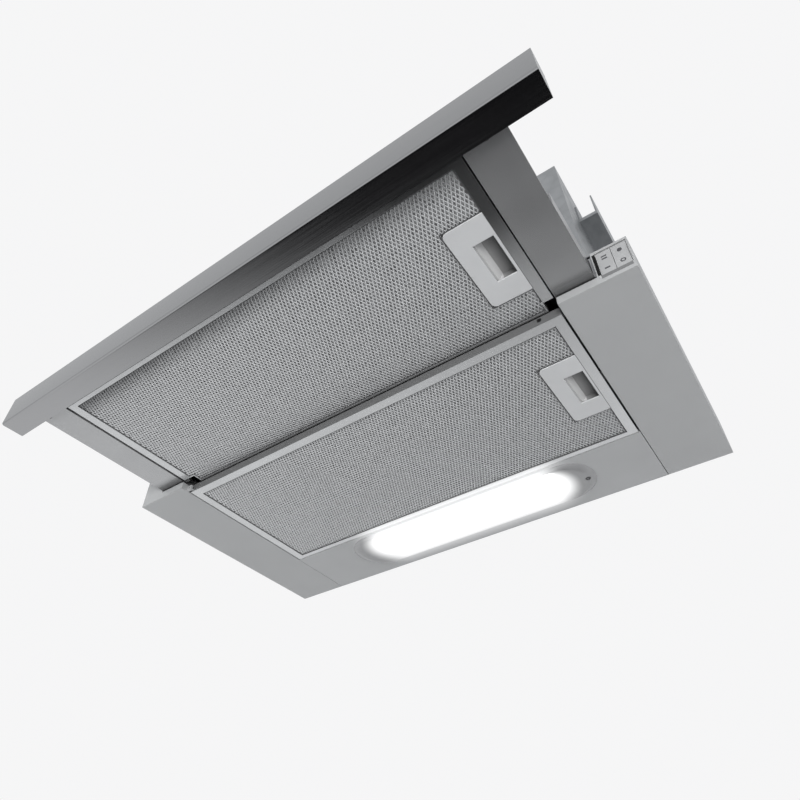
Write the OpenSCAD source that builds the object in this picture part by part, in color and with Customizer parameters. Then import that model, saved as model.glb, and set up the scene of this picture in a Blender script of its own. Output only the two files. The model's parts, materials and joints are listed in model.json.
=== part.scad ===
// Pull out range hood for a 600 mm wall cabinet.
// X runs right as seen from the front, Y back to the wall, Z up.
// The origin is the middle of the back edge of the underside.
// The tray is drawn pulled right out, with both filters shut.

/* [Hood] */
// Width over the side covers
hood_w = 598; // [580:1:640]
// Depth from the wall to the fixed front
hood_d = 290; // [285:1:310]
// Height of the low part that hangs below the cabinet
low_h = 41; // [41:0.5:46]
// Thickness of the folded steel sheet
sheet = 1; // [0.8:0.1:1.2]

/* [Upper casing] */
// Ledge of the low part on each side of the upper casing
casing_ledge = 36; // [33:1:42]
// Height of the upper casing
casing_h = 162; // [158:1:180]
// Flange round the foot of the upper casing
casing_flange = 12; // [8:1:20]
// Radius of the stiffening beads
bead_r = 5; // [3:0.5:7]
// Stiffening beads on the front and on the back
bead_count = 4; // [2:1:6]

/* [Side covers] */
// Width of each side cover
cover_w = 68.5; // [66:0.5:72]
// Wall of the side covers
cover_t = 1.2; // [1:0.1:1.6]
// Height of the side covers' inner wall
cover_lip_h = 8.6; // [8:0.1:9]
// Width of the tall box at the outer side of each cover
cover_box_w = 32; // [32:0.5:33]

/* [Lamp] */
// Depth of the lamp panel
lamp_d = 90; // [86:1:100]
// Gap between the lamp panel and the rear filter
lamp_gap = 1; // [1:0.5:3]
// Length of the lamp's oval rim
rim_len = 326; // [300:1:360]
// Width of the lamp's oval rim
rim_w = 68; // [64:1:72]
// Rim at each end of the lens
rim_end = 20; // [15:1:30]
// Rim along both sides of the lens
rim_side = 6; // [4:0.5:8]
// Rim's drop below the lamp panel
rim_drop = 1.6; // [1:0.1:3]
// Place of the lamp's middle to the right of the hood's middle
lamp_x = 3; // [-10:1:10]
// Place of the lamp's middle in front of its panel's middle
lamp_fore = 7; // [5:0.5:9]

/* [Tray] */
// Room behind the front filter when the tray is shut; the rest is the tray's travel
shut_gap = 36; // [30:1:70]
// Gap between the front panel and the side covers when shut
closed_gap = 1; // [1:0.5:2]
// Clear height between the rear filter and the tray
tray_clear = 0.8; // [0.6:0.1:1.2]
// Depth of the front panel
panel_d = 22.7; // [18:0.1:30]
// Height of the front panel's lower edge above the underside
panel_low = 4; // [2:0.5:6]
// Gap above the front panel
panel_gap = 1; // [1:0.5:3]
// Outer radius of the front panel's bends
panel_bend = 2.5; // [1.5:0.1:4]
// Height of the tray's upstands
upstand_h = 10; // [9:0.5:12]

/* [Filters] */
// Thickness of both filters
filter_t = 9; // [9:0.5:10]
// Gap at each side of a filter
filter_gap = 2; // [2:0.5:3]
// Width of the filter frames' side bars
frame_bar = 9.5; // [8:0.5:12]
// Wall of the filter frames
channel_t = 0.8; // [0.6:0.1:1]
// Pitch of the filter mesh
mesh_pitch = 18; // [16:1:30]
// Width of the mesh strands
mesh_strand = 4; // [3:0.5:5]

/* [Handles] */
// Width of a handle plate
handle_w = 37; // [34:1:40]
// Length of a handle plate
handle_l = 86; // [80:1:100]
// Width of the finger window
window_w = 18.5; // [16:0.5:20]
// Length of the finger window
window_l = 41; // [36:1:46]
// Travel of the latch
latch_travel = 6; // [5:0.5:6]

/* [Fan] */
// Half the casing's height less the impeller's radius
wheel_room = 19; // [17:1:21]
// Depth of the blades
blade_d = 12; // [8:1:12]
// Number of blades
blade_count = 32; // [20:1:40]
// Gap between the motor and the blades
motor_gap = 10; // [8:1:14]
// Wall of the moulded fan housing
moulding = 1.5; // [1.2:0.1:2]

/* [Outlet] */
// Outer diameter of the wide spigot
spigot_wide_d = 150; // [140:1:160]
// Outer diameter of the narrow spigot
spigot_narrow_d = 120; // [110:1:125]
// Wall of the collar
collar_t = 2; // [1.5:0.5:3]

/* [Hidden] */
$fn = 48;

// Overrun of every cut past the face it starts from
over = 0.5;
// Play between plain moving pieces
play = 0.4;
// Radial play of a pin in its bore
pin_play = 0.05;

// Sides of the hood
half_w = hood_w / 2;
front_y = -hood_d;
cover_front = front_y + cover_t;
casing_half = half_w - casing_ledge;
casing_back = -sheet;
casing_front = cover_front;
casing_top_z = low_h + casing_h;

// Bay between the side covers, where the filters and the lamp panel lie
bay_half = half_w - cover_w;
box_in = half_w - cover_box_w;
lamp_front = -lamp_d;
lamp_y = -lamp_d / 2 - lamp_fore;
lens_len = rim_len - 2 * rim_end;
lens_w = rim_w - 2 * rim_side;

// Rear filter
front_setback = 12;
rear_front = front_y + front_setback;
rear_back = lamp_front - lamp_gap;
filter_half = bay_half - filter_gap;

// Tray, drawn pulled out
filter_pass = 1;
front_back = rear_front - filter_pass;
pull_travel = lamp_front - shut_gap - front_back;
tray_z = filter_t + tray_clear;
panel_back = front_y - closed_gap - pull_travel;
panel_front = panel_back - panel_d;
panel_top = low_h - panel_gap;
tray_wall_y = panel_back + sheet;
filter_wall_gap = 2;
front_front = tray_wall_y + filter_wall_gap;

// Central opening of the lower housing
opening_side = 8.5;
opening_half = bay_half - opening_side;
opening_front_in = 28;
opening_back_in = 6;
opening_front = front_y + opening_front_in;
opening_back = lamp_front - opening_back_in;

// Rails, nested channels that open towards each other
rail_t = 1.2;
rail_lift = 1.2;
rail_z = tray_z + sheet + rail_lift;
rail_roof_gap = 2;
rail_h = low_h - sheet - rail_roof_gap - rail_z;
rail_deep = 7.8;
rail_front_in = 2;
rail_back_gap = 23;
rail_len = hood_d - rail_front_in - rail_back_gap;
rail_front = front_y + rail_front_in;
rail_out_x = box_in - sheet;
rail_channel_w = 10.5;
rail_in_x = rail_out_x - rail_channel_w;

// Hinge pins of the filters
pin_r = 1.5;
pin_edge = 2.4;
pin_up = 2.8;
pin_x = -filter_half + pin_edge;

// Box between a low corner and a high corner
module slab(low, high) {
  translate(low) cube(high - low);
}

// Slab on the right, or its mirror image on the left
module slab_side(side, low, high) {
  if (side > 0) slab(low, high);
  else mirror([1, 0, 0]) slab(low, high);
}

// Rod along X between two ends
module rod_x(x0, x1, y, z, r) {
  translate([x0, y, z]) rotate([0, 90, 0]) cylinder(r = r, h = x1 - x0);
}

// Rod along Y between two ends
module rod_y(x, y0, y1, z, r) {
  translate([x, y0, z]) rotate([-90, 0, 0]) cylinder(r = r, h = y1 - y0);
}

// Rod along Z between two ends
module rod_z(x, y, z0, z1, r) {
  translate([x, y, z0]) cylinder(r = r, h = z1 - z0);
}

// Flat oval with round ends, middle at the origin
module oval(len, wide) {
  square([len - wide, wide], center = true);
  for (s = [-1, 1]) translate([s * (len - wide) / 2, 0]) circle(d = wide, $fn = 96);
}

// Screw along Z, its head below the face at z
module screw_z(x, y, z, head_r, head_h, shank_r, shank_l) {
  rod_z(x, y, z - head_h, z, head_r);
  rod_z(x, y, z, z + shank_l, shank_r);
}

// Lower housing

// Lip along the front edge of the top plate
lip_h = 4.5;
// Rim round the central opening, turned up into the casing
rim_h = 6;
// Gap between the side covers' outer wall and the top plate
housing_half = half_w - cover_t;
// Countersunk holes through the top plate into the cabinet's floor
seat_hole_r = 2.2;
seat_hole_in = 20;
seat_hole_x = half_w - seat_hole_in;
seat_hole_d = 40;

module lower_housing() {
  color("gainsboro") {
    difference() {
      slab([-housing_half, cover_front, low_h - sheet], [housing_half, 0, low_h]);
      slab([-opening_half, opening_front, low_h - sheet - over],
           [opening_half, opening_back, low_h + over]);
      for (s = [-1, 1], y = [front_y + seat_hole_d, -seat_hole_d])
        rod_z(s * seat_hole_x, y, low_h - sheet - over, low_h + over, seat_hole_r);
    }
    difference() {
      slab([-opening_half - sheet, opening_front - sheet, low_h - sheet],
           [opening_half + sheet, opening_back + sheet, low_h + rim_h]);
      slab([-opening_half, opening_front, low_h - sheet - over],
           [opening_half, opening_back, low_h + rim_h + over]);
    }
    slab([-housing_half, -sheet, cover_t], [housing_half, 0, low_h - sheet]);
    slab([-bay_half, -sheet, 0], [bay_half, 0, cover_t]);
    slab([-rail_in_x + play, cover_front, low_h - sheet - lip_h],
         [rail_in_x - play, cover_front + sheet, low_h - sheet]);
    for (s = [-1, 1])
      slab_side(s, [box_in - sheet, cover_front + sheet, cover_t],
                [box_in, -sheet, low_h - sheet]);
  }
}

// Side covers

// Lug on the left cover that takes the rear filter's front pin
lug_gap = 2.5;
lug_t = 2.5;
lug_w = 7;
lug_h = 6;
lug_y = rear_front - lug_gap;
// Slots for the latches' tongues
tongue_half = 8;
tongue_low = 3.2;
tongue_t = 2;
// Middle of the rear handle
rear_handle_y = (rear_front + rear_back) / 2;
// Window for the switches
switch_left_in = 1.6;
switch_low = 5.5;
switch_high = low_h - 2 * sheet;

// Cover on one side of the hood; side is 1 on the right
module side_cover(side) {
  slab_side(side, [bay_half, front_y, 0], [half_w, 0, cover_t]);
  slab_side(side, [half_w - cover_t, front_y, cover_t], [half_w, 0, low_h]);
  slab_side(side, [bay_half, front_y, cover_t], [bay_half + cover_t, -sheet, cover_lip_h]);
  slab_side(side, [bay_half + cover_t, front_y, cover_t],
            [box_in, cover_front, cover_lip_h]);
  slab_side(side, [box_in, front_y, cover_t], [half_w - cover_t, cover_front, low_h]);
}

module left_cover() {
  color("whitesmoke") {
    side_cover(-1);
    difference() {
      slab([-bay_half, lug_y - lug_t, 0], [-bay_half + lug_w, lug_y, lug_h]);
      rod_y(pin_x, lug_y - lug_t - over, lug_y + over, pin_up, pin_r + pin_play);
    }
  }
}

module right_cover() {
  color("whitesmoke")
  difference() {
    side_cover(1);
    slab([bay_half - over, rear_handle_y - tongue_half - play, tongue_low - play],
         [bay_half + cover_t + over, rear_handle_y + tongue_half + play,
          tongue_low + tongue_t + play]);
    slab([box_in + switch_left_in, front_y - over, switch_low],
         [half_w - cover_t, cover_front + over, switch_high]);
  }
}

// Upper casing

// Height of a bead's ends above the foot and below the top
bead_end = 18;
// How far a bead stands out of the sheet
bead_out = 0.8;

// Place of bead i along X
function bead_x(i) = 2 * casing_half * ((i + 0.5) / bead_count - 0.5);

// Pressed bead on the wall at y, standing out towards side
module bead(x, y, side, r) {
  rod_z(x, y + side * (bead_out - bead_r), low_h + bead_end, casing_top_z - bead_end, r);
}

module casing_shell() {
  wall_top = casing_top_z - sheet;
  color("silver") {
    difference() {
      union() {
        slab([-casing_half, casing_front, low_h], [casing_half, casing_back, wall_top]);
        for (i = [0:bead_count - 1]) bead(bead_x(i), casing_front, -1, bead_r);
      }
      slab([-casing_half + sheet, casing_front + sheet, low_h + sheet],
           [casing_half - sheet, casing_back - sheet, wall_top + over]);
      slab([-casing_half + casing_flange, casing_front + casing_flange, low_h - over],
           [casing_half - casing_flange, casing_back - casing_flange, wall_top]);
      for (i = [0:bead_count - 1]) bead(bead_x(i), casing_front, -1, bead_r - sheet);
      for (s = [-1, 1], y = bracket_screw_ys)
        rod_x(s > 0 ? casing_half - sheet - over : -casing_half - over,
              s > 0 ? casing_half + over : -casing_half + sheet + over,
              y, bracket_screw_z, screw_r);
    }
  }
}

// Lid with the hole that the fan blows through
module casing_top() {
  color("silver")
  difference() {
    slab([-casing_half, casing_front, casing_top_z - sheet],
         [casing_half, casing_back, casing_top_z]);
    rod_z(0, outlet_y, casing_top_z - sheet - over, casing_top_z + over, narrow_r);
    rod_z(gland_x, gland_y, casing_top_z - sheet - over, casing_top_z + over, gland_r);
    for (a = collar_screw_angles)
      translate([0, outlet_y, 0]) rotate(a)
        rod_z(collar_screw_r, 0, casing_top_z - sheet - over, casing_top_z + over, screw_r);
  }
}

// Fixing brackets and screws

// Radius of the sheet metal screws' shanks
screw_r = 1.6;
screw_head_r = 3.2;
screw_head_h = 1.8;
screw_l = 7;
// Steel of the brackets
bracket_t = 1.5;
bracket_fore = 40;
bracket_front = front_y + bracket_fore;
bracket_len = 190;
bracket_leaf = 26;
bracket_reach = 19;
bracket_top = 32;
bracket_drop = 53;
bracket_z = casing_top_z - bracket_drop;
bracket_hole_r = 2.75;
bracket_hole_in = 31;
bracket_screw_in = 20;
bracket_screw_up = 12;
bracket_screw_z = bracket_z + bracket_screw_up;
bracket_screw_ys = [bracket_front + bracket_screw_in,
                    bracket_front + bracket_len - bracket_screw_in];
bracket_hole_ys = [bracket_front + bracket_hole_in,
                   bracket_front + bracket_len - bracket_hole_in];
bracket_hole_z = bracket_z + bracket_t + bracket_leaf / 2;
bracket_rib = 3;

// Z-shaped bracket that screws to the cabinet's side panel
module bracket(side) {
  x0 = casing_half;
  x1 = casing_half + bracket_reach;
  y0 = bracket_front;
  y1 = bracket_front + bracket_len;
  color("lightslategray")
  difference() {
    union() {
      slab_side(side, [x0, y0, bracket_z], [x0 + bracket_t, y1, bracket_z + bracket_leaf]);
      slab_side(side, [x0, y0, bracket_z - bracket_t], [x1, y1, bracket_z]);
      slab_side(side, [x1 - bracket_t, y0, bracket_z], [x1, y1, bracket_z + bracket_top]);
      for (y = [y0, y1 - bracket_t])
        slab_side(side, [x0 + bracket_t, y, bracket_z],
                  [x1 - bracket_t, y + bracket_t, bracket_z + bracket_rib]);
    }
    for (y = bracket_screw_ys)
      rod_x(side > 0 ? x0 - over : -x0 - bracket_t - over,
            side > 0 ? x0 + bracket_t + over : -x0 + over, y, bracket_screw_z, screw_r);
    for (y = bracket_hole_ys)
      rod_x(side > 0 ? x1 - bracket_t - over : -x1 - over,
            side > 0 ? x1 + over : -x1 + bracket_t + over, y, bracket_hole_z, bracket_hole_r);
  }
}

module fixing_bracket_left() {
  bracket(-1);
}

module fixing_bracket_right() {
  bracket(1);
}

module casing_screws() {
  color("dimgray") {
    for (s = [-1, 1], y = bracket_screw_ys) {
      face = casing_half + bracket_t;
      rod_x(s > 0 ? face : -face - screw_head_h, s > 0 ? face + screw_head_h : -face,
            y, bracket_screw_z, screw_head_r);
      rod_x(s > 0 ? face - screw_l : -face, s > 0 ? face : -face + screw_l,
            y, bracket_screw_z, screw_r);
    }
    for (a = collar_screw_angles)
      translate([0, outlet_y, 0]) rotate(a) {
        rod_z(collar_screw_r, 0, collar_base_z, collar_base_z + screw_head_h, screw_head_r);
        rod_z(collar_screw_r, 0, collar_base_z - screw_l, collar_base_z, screw_r);
      }
  }
}

// Fan

wheel_r = casing_h / 2 - wheel_room;
motor_r = wheel_r - blade_d - motor_gap;
fan_fore = 5;
fan_lift = 25;
fan_y = front_y / 2 - fan_fore;
fan_z = low_h + fan_lift + wheel_r;
// Gap between the wheel and the tongue of the scroll
tongue_gap = 6.5;
// Widening of the scroll over one full turn
scroll_growth = 34;
scroll_step = 10;
scroll_start = 50;
scroll_sweep = scroll_start + 180;
scroll_half = 66;
wheel_half = 60;
wheel_t = 1;
// Inlet and its bell mouth
inlet_gap = 10;
inlet_r = wheel_r - inlet_gap;
mouth_r = 5;
// Flange along the split of the housing
split_w = 4;
split_t = 2;
outlet_front = fan_y - scroll_r(scroll_sweep);
outlet_back = fan_y + scroll_r(0) * cos(scroll_start);
outlet_y = (outlet_front + outlet_back) / 2;
wide_r = spigot_wide_d / 2;
narrow_r = spigot_narrow_d / 2;

// Radius of the scroll after a turn of a degrees past its tongue
function scroll_r(a) = wheel_r + tongue_gap + scroll_growth * abs(a) / 360;

// Outline of the air space in the scroll, grown by d and cut off at top
function scroll_points(d, top) = concat(
  [for (a = [0:scroll_step:scroll_sweep])
     (scroll_r(a) + d) * [cos(scroll_start - a), sin(scroll_start - a)] + [fan_y, fan_z]],
  [[outlet_front - d, top], [outlet_back + d, top]]
);

// Extrudes an outline of Y and Z along X
module along_x(x0, x1) {
  translate([x0, 0, 0]) rotate([90, 0, 90]) linear_extrude(x1 - x0) children();
}

// Turns an outline of radius and X about the fan's axis
module about_fan_axis() {
  translate([0, fan_y, fan_z]) rotate([0, 90, 0]) rotate_extrude($fn = 96) children();
}

// Half of the fan housing, drawn on the right
module fan_half() {
  top = casing_top_z - sheet;
  wall_x = scroll_half + moulding;
  difference() {
    union() {
      along_x(0, wall_x) polygon(scroll_points(moulding, top));
      along_x(0, split_t) polygon(scroll_points(moulding + split_w, top));
    }
    along_x(-over, scroll_half) polygon(scroll_points(0, top + over));
    rod_x(scroll_half - over, wall_x + over, fan_y, fan_z, inlet_r + mouth_r);
  }
  about_fan_axis()
    difference() {
      translate([inlet_r, wall_x - mouth_r]) square([mouth_r, mouth_r]);
      translate([inlet_r + mouth_r, wall_x - mouth_r]) circle(r = mouth_r - moulding);
      difference() {
        translate([inlet_r, wall_x - mouth_r]) square([mouth_r, mouth_r + over]);
        translate([inlet_r + mouth_r, wall_x - mouth_r]) circle(r = mouth_r);
      }
    }
}

module fan_housing_right() {
  color("darkslategray") fan_half();
}

module fan_housing_left() {
  color("darkslategray") mirror([1, 0, 0]) fan_half();
}

// Motor inside the right inlet
motor_start = 10;
motor_end = scroll_half + moulding;
motor_bell = 5;
motor_bell_d = 4;
motor_boss_r = 12;
motor_boss_l = 2;
shaft_r = 4;
shaft_end_gap = 6;

module motor() {
  color("darkgray")
  difference() {
    union() {
      rod_x(motor_start + motor_bell, motor_end - motor_bell, fan_y, fan_z, motor_r);
      rod_x(motor_start, motor_end, fan_y, fan_z, motor_r - motor_bell_d);
      rod_x(motor_end, motor_end + motor_boss_l, fan_y, fan_z, motor_boss_r);
    }
    rod_x(motor_start - over, motor_end - shaft_end_gap, fan_y, fan_z, shaft_r + pin_play);
  }
}

// Four arms that carry the motor on the housing's side wall
bracket_arm_w = 9;
bracket_arm_over = 9;
bracket_arm_r = inlet_r + mouth_r + bracket_arm_over;
bracket_hub_r = 30;
bracket_steel = 2;

module motor_bracket() {
  color("lightslategray")
  difference() {
    union() {
      rod_x(motor_end, motor_end + bracket_steel, fan_y, fan_z, bracket_hub_r);
      translate([0, fan_y, fan_z])
        for (a = [45, 135])
          rotate([a, 0, 0])
            slab([motor_end, -bracket_arm_r, -bracket_arm_w / 2],
                 [motor_end + bracket_steel, bracket_arm_r, bracket_arm_w / 2]);
    }
    rod_x(motor_end - over, motor_end + bracket_steel + over, fan_y, fan_z, motor_boss_r);
  }
}

hub_r = 10;
hub_half = 8;

module motor_shaft() {
  color("silver")
    rod_x(-hub_half, motor_end - shaft_end_gap - play, fan_y, fan_z, shaft_r);
}

// Blade of the wheel, curved forward, as seen along X
blade_t = 0.8;
blade_steps = 5;
// Angle by which a blade's tip leads its root
blade_lead = 9;
// Bulge of a blade's middle as a share of its depth
blade_bulge_share = 0.22;

// Point on a blade at share s of its depth, moved across by d
function blade_point(s, d) =
  let (r = wheel_r - blade_d + s * blade_d)
  let (a = blade_lead * s)
  let (w = d - blade_bulge_share * blade_d * 4 * s * (1 - s))
  r * [cos(a), sin(a)] + w * [-sin(a), cos(a)];

function blade_points() = concat(
  [for (i = [0:blade_steps]) blade_point(i / blade_steps, 0)],
  [for (i = [blade_steps:-1:0]) blade_point(i / blade_steps, blade_t)]
);

module impeller() {
  color("slategray") {
    translate([0, fan_y, fan_z])
      for (i = [0:blade_count - 1])
        rotate([i * 360 / blade_count, 0, 0])
          along_x(-wheel_half + wheel_t / 2, wheel_half - wheel_t / 2)
            polygon(blade_points());
    about_fan_axis() {
      translate([shaft_r, -wheel_t]) square([wheel_r - shaft_r, 2 * wheel_t]);
      translate([shaft_r, -hub_half]) square([hub_r - shaft_r, 2 * hub_half]);
      for (x = [-wheel_half, wheel_half - wheel_t])
        translate([wheel_r - blade_d, x]) square([blade_d, wheel_t]);
    }
  }
}

// Outlet collar on the casing's top

collar_flange_w = 17;
collar_flange_r = wide_r + collar_flange_w;
collar_screw_w = 9;
collar_screw_r = wide_r + collar_screw_w;
collar_screw_angles = [45, 135, 225, 315];
collar_base_t = 1.5;
collar_base_z = casing_top_z + collar_base_t;
wide_h = 25;
cone_h = 8;
narrow_h = 26;
wide_top = casing_top_z + wide_h;
narrow_low = wide_top + cone_h;
collar_top = narrow_low + narrow_h;
// Ledge on which the shut flaps rest
ledge_w = 4;
ledge_h = 2;
// Axis of the flaps above the ledge
flap_axis_up = 3;
flap_axis_z = narrow_low + ledge_h + flap_axis_up;
flap_wall_gap = 2.5;
flap_r = narrow_r - collar_t - flap_wall_gap;
flap_t = 1.2;
flap_lift = 0.3;
barrel_r = 2.5;
barrel_gap = 1;
barrel_len = 22;
// How far a flap's plate starts from the pin's axis
flap_start = 3.5;

module outlet_collar() {
  color("dimgray")
  difference() {
    translate([0, outlet_y, 0]) {
      rotate_extrude($fn = 96)
        polygon([
          [narrow_r - collar_t, casing_top_z], [collar_flange_r, casing_top_z],
          [collar_flange_r, collar_base_z], [wide_r, collar_base_z],
          [wide_r, wide_top], [narrow_r, narrow_low], [narrow_r, collar_top],
          [narrow_r - collar_t, collar_top],
          [narrow_r - collar_t, narrow_low + ledge_h],
          [narrow_r - collar_t - ledge_w, narrow_low + ledge_h],
          [narrow_r - collar_t - ledge_w, narrow_low],
          [narrow_r - collar_t, narrow_low], [wide_r - collar_t, wide_top],
          [wide_r - collar_t, collar_base_z], [narrow_r - collar_t, collar_base_z]
        ]);
    }
    rod_x(-narrow_r - over, narrow_r + over, outlet_y, flap_axis_z, pin_r);
    for (a = collar_screw_angles)
      translate([0, outlet_y, 0]) rotate(a)
        rod_z(collar_screw_r, 0, casing_top_z - over, collar_base_z + over, screw_r);
  }
}

module flap_pin() {
  end = narrow_r - collar_t / 4;
  color("silver") rod_x(-end, end, outlet_y, flap_axis_z, pin_r);
}

// Half-round flap on the front side of the pin
module flap() {
  z0 = narrow_low + ledge_h + flap_lift;
  reach = barrel_gap + barrel_len;
  difference() {
    union() {
      translate([0, outlet_y, 0])
        intersection() {
          rod_z(0, 0, z0, z0 + flap_t, flap_r);
          slab([-flap_r, -flap_r, z0 - over], [flap_r, -flap_start, z0 + flap_t + over]);
        }
      for (x = [barrel_gap / 2, -reach - barrel_gap - barrel_len]) {
        rod_x(x, x + barrel_len, outlet_y, flap_axis_z, barrel_r);
        slab([x, outlet_y - flap_start - flap_t, z0],
             [x + barrel_len, outlet_y, z0 + flap_t]);
      }
    }
    rod_x(-narrow_r, narrow_r, outlet_y, flap_axis_z, pin_r + pin_play);
  }
}

module flap_front() {
  color("slategray") flap();
}

module flap_rear() {
  color("slategray")
    translate([0, 2 * outlet_y, 0]) rotate(180) flap();
}

// Lamp

// Height of the lamp panel's folded flanges
flange_h = 8;
lamp_side_gap = 0.6;
lamp_half = bay_half - lamp_side_gap;
lens_flange = 5;
lens_flange_t = 1;
lens_in = 0.4;
lens_rest_w = 3;
reflector_over = 18;
reflector_half = lens_len / 2 + reflector_over;
reflector_gap = 5;
reflector_top = low_h - reflector_gap;
reflector_slope = 12;
reflector_t = 0.8;
lamp_screw_in = 10;
lamp_screw_x = rim_len / 2 - lamp_screw_in;
lamp_screw_dy = 2;
bulb_z = reflector_top / 2;
bulb_gap = 4;
bulb_r = bulb_z - bulb_gap;
holder_gap = 7;
holder_r = bulb_z - holder_gap;
holder_l = 26;
bulb_base_r = 7;
bulb_base_l = 22;
bulb_neck = 16;

module lamp_panel() {
  color("white") {
    difference() {
      slab([-lamp_half, lamp_front, 0], [lamp_half, -sheet, sheet]);
      translate([lamp_x, lamp_y, -over])
        linear_extrude(sheet + 2 * over)
          oval(lens_len + 2 * lens_flange, lens_w + 2 * lens_rest_w);
      rod_z(lamp_x + lamp_screw_x, lamp_y + lamp_screw_dy, -over, sheet + over, screw_r);
    }
    difference() {
      slab([-lamp_half, lamp_front, sheet], [lamp_half, lamp_front + sheet, flange_h]);
      rod_y(pin_x, lamp_front - over, lamp_front + sheet + over, pin_up, pin_r + pin_play);
    }
    slab([-lamp_half, -2 * sheet, sheet], [lamp_half, -sheet, flange_h]);
    for (s = [-1, 1])
      slab_side(s, [lamp_half - sheet, lamp_front + sheet, sheet],
                [lamp_half, -2 * sheet, flange_h]);
  }
}

module lamp_bezel() {
  color("silver")
  difference() {
    translate([lamp_x, lamp_y, -rim_drop])
      linear_extrude(rim_drop)
        difference() {
          oval(rim_len, rim_w);
          oval(lens_len, lens_w);
        }
    rod_z(lamp_x + lamp_screw_x, lamp_y + lamp_screw_dy, -rim_drop - over, over, screw_r);
  }
}

module lamp_lens() {
  color("white")
    translate([lamp_x, lamp_y, 0]) {
      translate([0, 0, lens_in - rim_drop])
        linear_extrude(rim_drop - lens_in) oval(lens_len, lens_w);
      linear_extrude(lens_flange_t)
        oval(lens_len + 2 * lens_flange, lens_w + 2 * lens_rest_w);
    }
}

// Section of the reflector, drawn in by d
module reflector_section(d) {
  y0 = lamp_front + 2 * sheet + d;
  y1 = -3 * sheet - d;
  polygon([[y0, sheet], [y0 + reflector_slope, reflector_top - d],
           [y1 - reflector_slope, reflector_top - d], [y1, sheet]]);
}

module lamp_reflector() {
  color("gainsboro")
  difference() {
    along_x(lamp_x - reflector_half, lamp_x + reflector_half) reflector_section(0);
    translate([0, 0, -over])
      along_x(lamp_x - reflector_half + reflector_t, lamp_x + reflector_half - reflector_t)
        reflector_section(reflector_t);
  }
}

module lamp_holders() {
  color("white")
    for (s = [-1, 1]) {
      end = reflector_half - reflector_t;
      translate([lamp_x, 0, 0])
        difference() {
          rod_x(s > 0 ? end - holder_l : -end, s > 0 ? end : -end + holder_l,
                lamp_y, bulb_z, holder_r);
          rod_x(s > 0 ? end - holder_l - over : -end + holder_l - bulb_base_l,
                s > 0 ? end - holder_l + bulb_base_l : -end + holder_l + over,
                lamp_y, bulb_z, bulb_base_r);
        }
    }
}

module lamp_bulbs() {
  color("ivory")
    for (s = [0, 1])
      translate([lamp_x, lamp_y, bulb_z])
        mirror([s, 0, 0])
          translate([reflector_half - reflector_t - holder_l, 0, 0])
            rotate([0, -90, 0]) {
              translate([0, 0, -bulb_base_l]) cylinder(r = bulb_base_r, h = bulb_base_l);
              cylinder(r1 = bulb_base_r, r2 = bulb_r, h = bulb_neck);
              translate([0, 0, bulb_neck]) sphere(r = bulb_r);
            }
}

module lamp_screw() {
  color("gray")
    screw_z(lamp_x + lamp_screw_x, lamp_y + lamp_screw_dy, -rim_drop,
            screw_head_r, screw_head_h, screw_r, screw_l);
}

// Switches in the right cover

switch_x0 = box_in + switch_left_in;
switch_x1 = half_w - cover_t;
switch_d = 28;
switch_bar = 1.7;
switch_wall = 0.5;
switch_foot = 2.3;
switch_roof = 0.7;
switch_bay_d = 15;
key_gap = 0.4;
key_x0 = switch_x0 + switch_bar + key_gap;
key_x1 = switch_x1 - switch_wall - key_gap;
key_w = (key_x1 - key_x0 - key_gap) / 2;
bay_low = switch_low + switch_foot;
bay_high = switch_high - switch_roof;
key_pivot_z = (bay_low + bay_high) / 2;
key_play_z = 1.1;
key_half = (bay_high - bay_low) / 2 - key_play_z;
// Key ends lie this far behind the face, so that a pressed key stays flush
key_setback = 0.8;
key_dish = 1.2;
key_depth = 8.2;
key_skirt = 2;
key_root = 4;
key_back = 1.5;
key_pivot_y = front_y + key_setback + key_depth;
rocker_pin_r = 1.2;
contact_t = 0.8;
contact_h = 20;
contact_inset = 2;
terminal_l = 7;
terminal_w = 4.8;
terminal_t = 0.8;

module switch_block() {
  color("black")
  difference() {
    slab([switch_x0, front_y, switch_low], [switch_x1, front_y + switch_d, switch_high]);
    slab([switch_x0 + switch_bar, front_y - over, bay_low],
         [switch_x1 - switch_wall, front_y + switch_bay_d, bay_high]);
    rod_x(switch_x0 + switch_bar / 2, switch_x1 + over, key_pivot_y, key_pivot_z,
          rocker_pin_r);
  }
}

module rocker_pin() {
  color("silver")
    rod_x(switch_x0 + switch_bar / 2, switch_x1, key_pivot_y, key_pivot_z, rocker_pin_r);
}

module switch_contacts() {
  y = front_y + switch_bay_d;
  color("peru")
    for (x = [key_x0, key_x0 + key_w + key_gap]) {
      slab([x + contact_inset, y - contact_t, key_pivot_z - contact_h / 2],
           [x + key_w - contact_inset, y, key_pivot_z + contact_h / 2]);
      for (s = [-1, 1])
        translate([x + key_w / 2, front_y + switch_d, key_pivot_z + s * contact_h / 3])
          slab([-terminal_w / 2, 0, -terminal_t / 2],
               [terminal_w / 2, terminal_l, terminal_t / 2]);
    }
}

// Rocker key whose low X side is at x
module rocker(x) {
  color("dimgray")
  difference() {
    along_x(x, x + key_w)
      translate([key_pivot_y, key_pivot_z])
        polygon([[-key_depth, -key_half], [key_dish - key_depth, 0],
                 [-key_depth, key_half], [key_skirt - key_depth, key_half],
                 [key_back, key_root], [key_back, -key_root],
                 [key_skirt - key_depth, -key_half]]);
    rod_x(x - over, x + key_w + over, key_pivot_y, key_pivot_z, rocker_pin_r + pin_play);
  }
}

module fan_rocker() {
  rocker(key_x0);
}

module light_rocker() {
  rocker(key_x0 + key_w + key_gap);
}

// Control box, capacitor and cable gland

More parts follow.
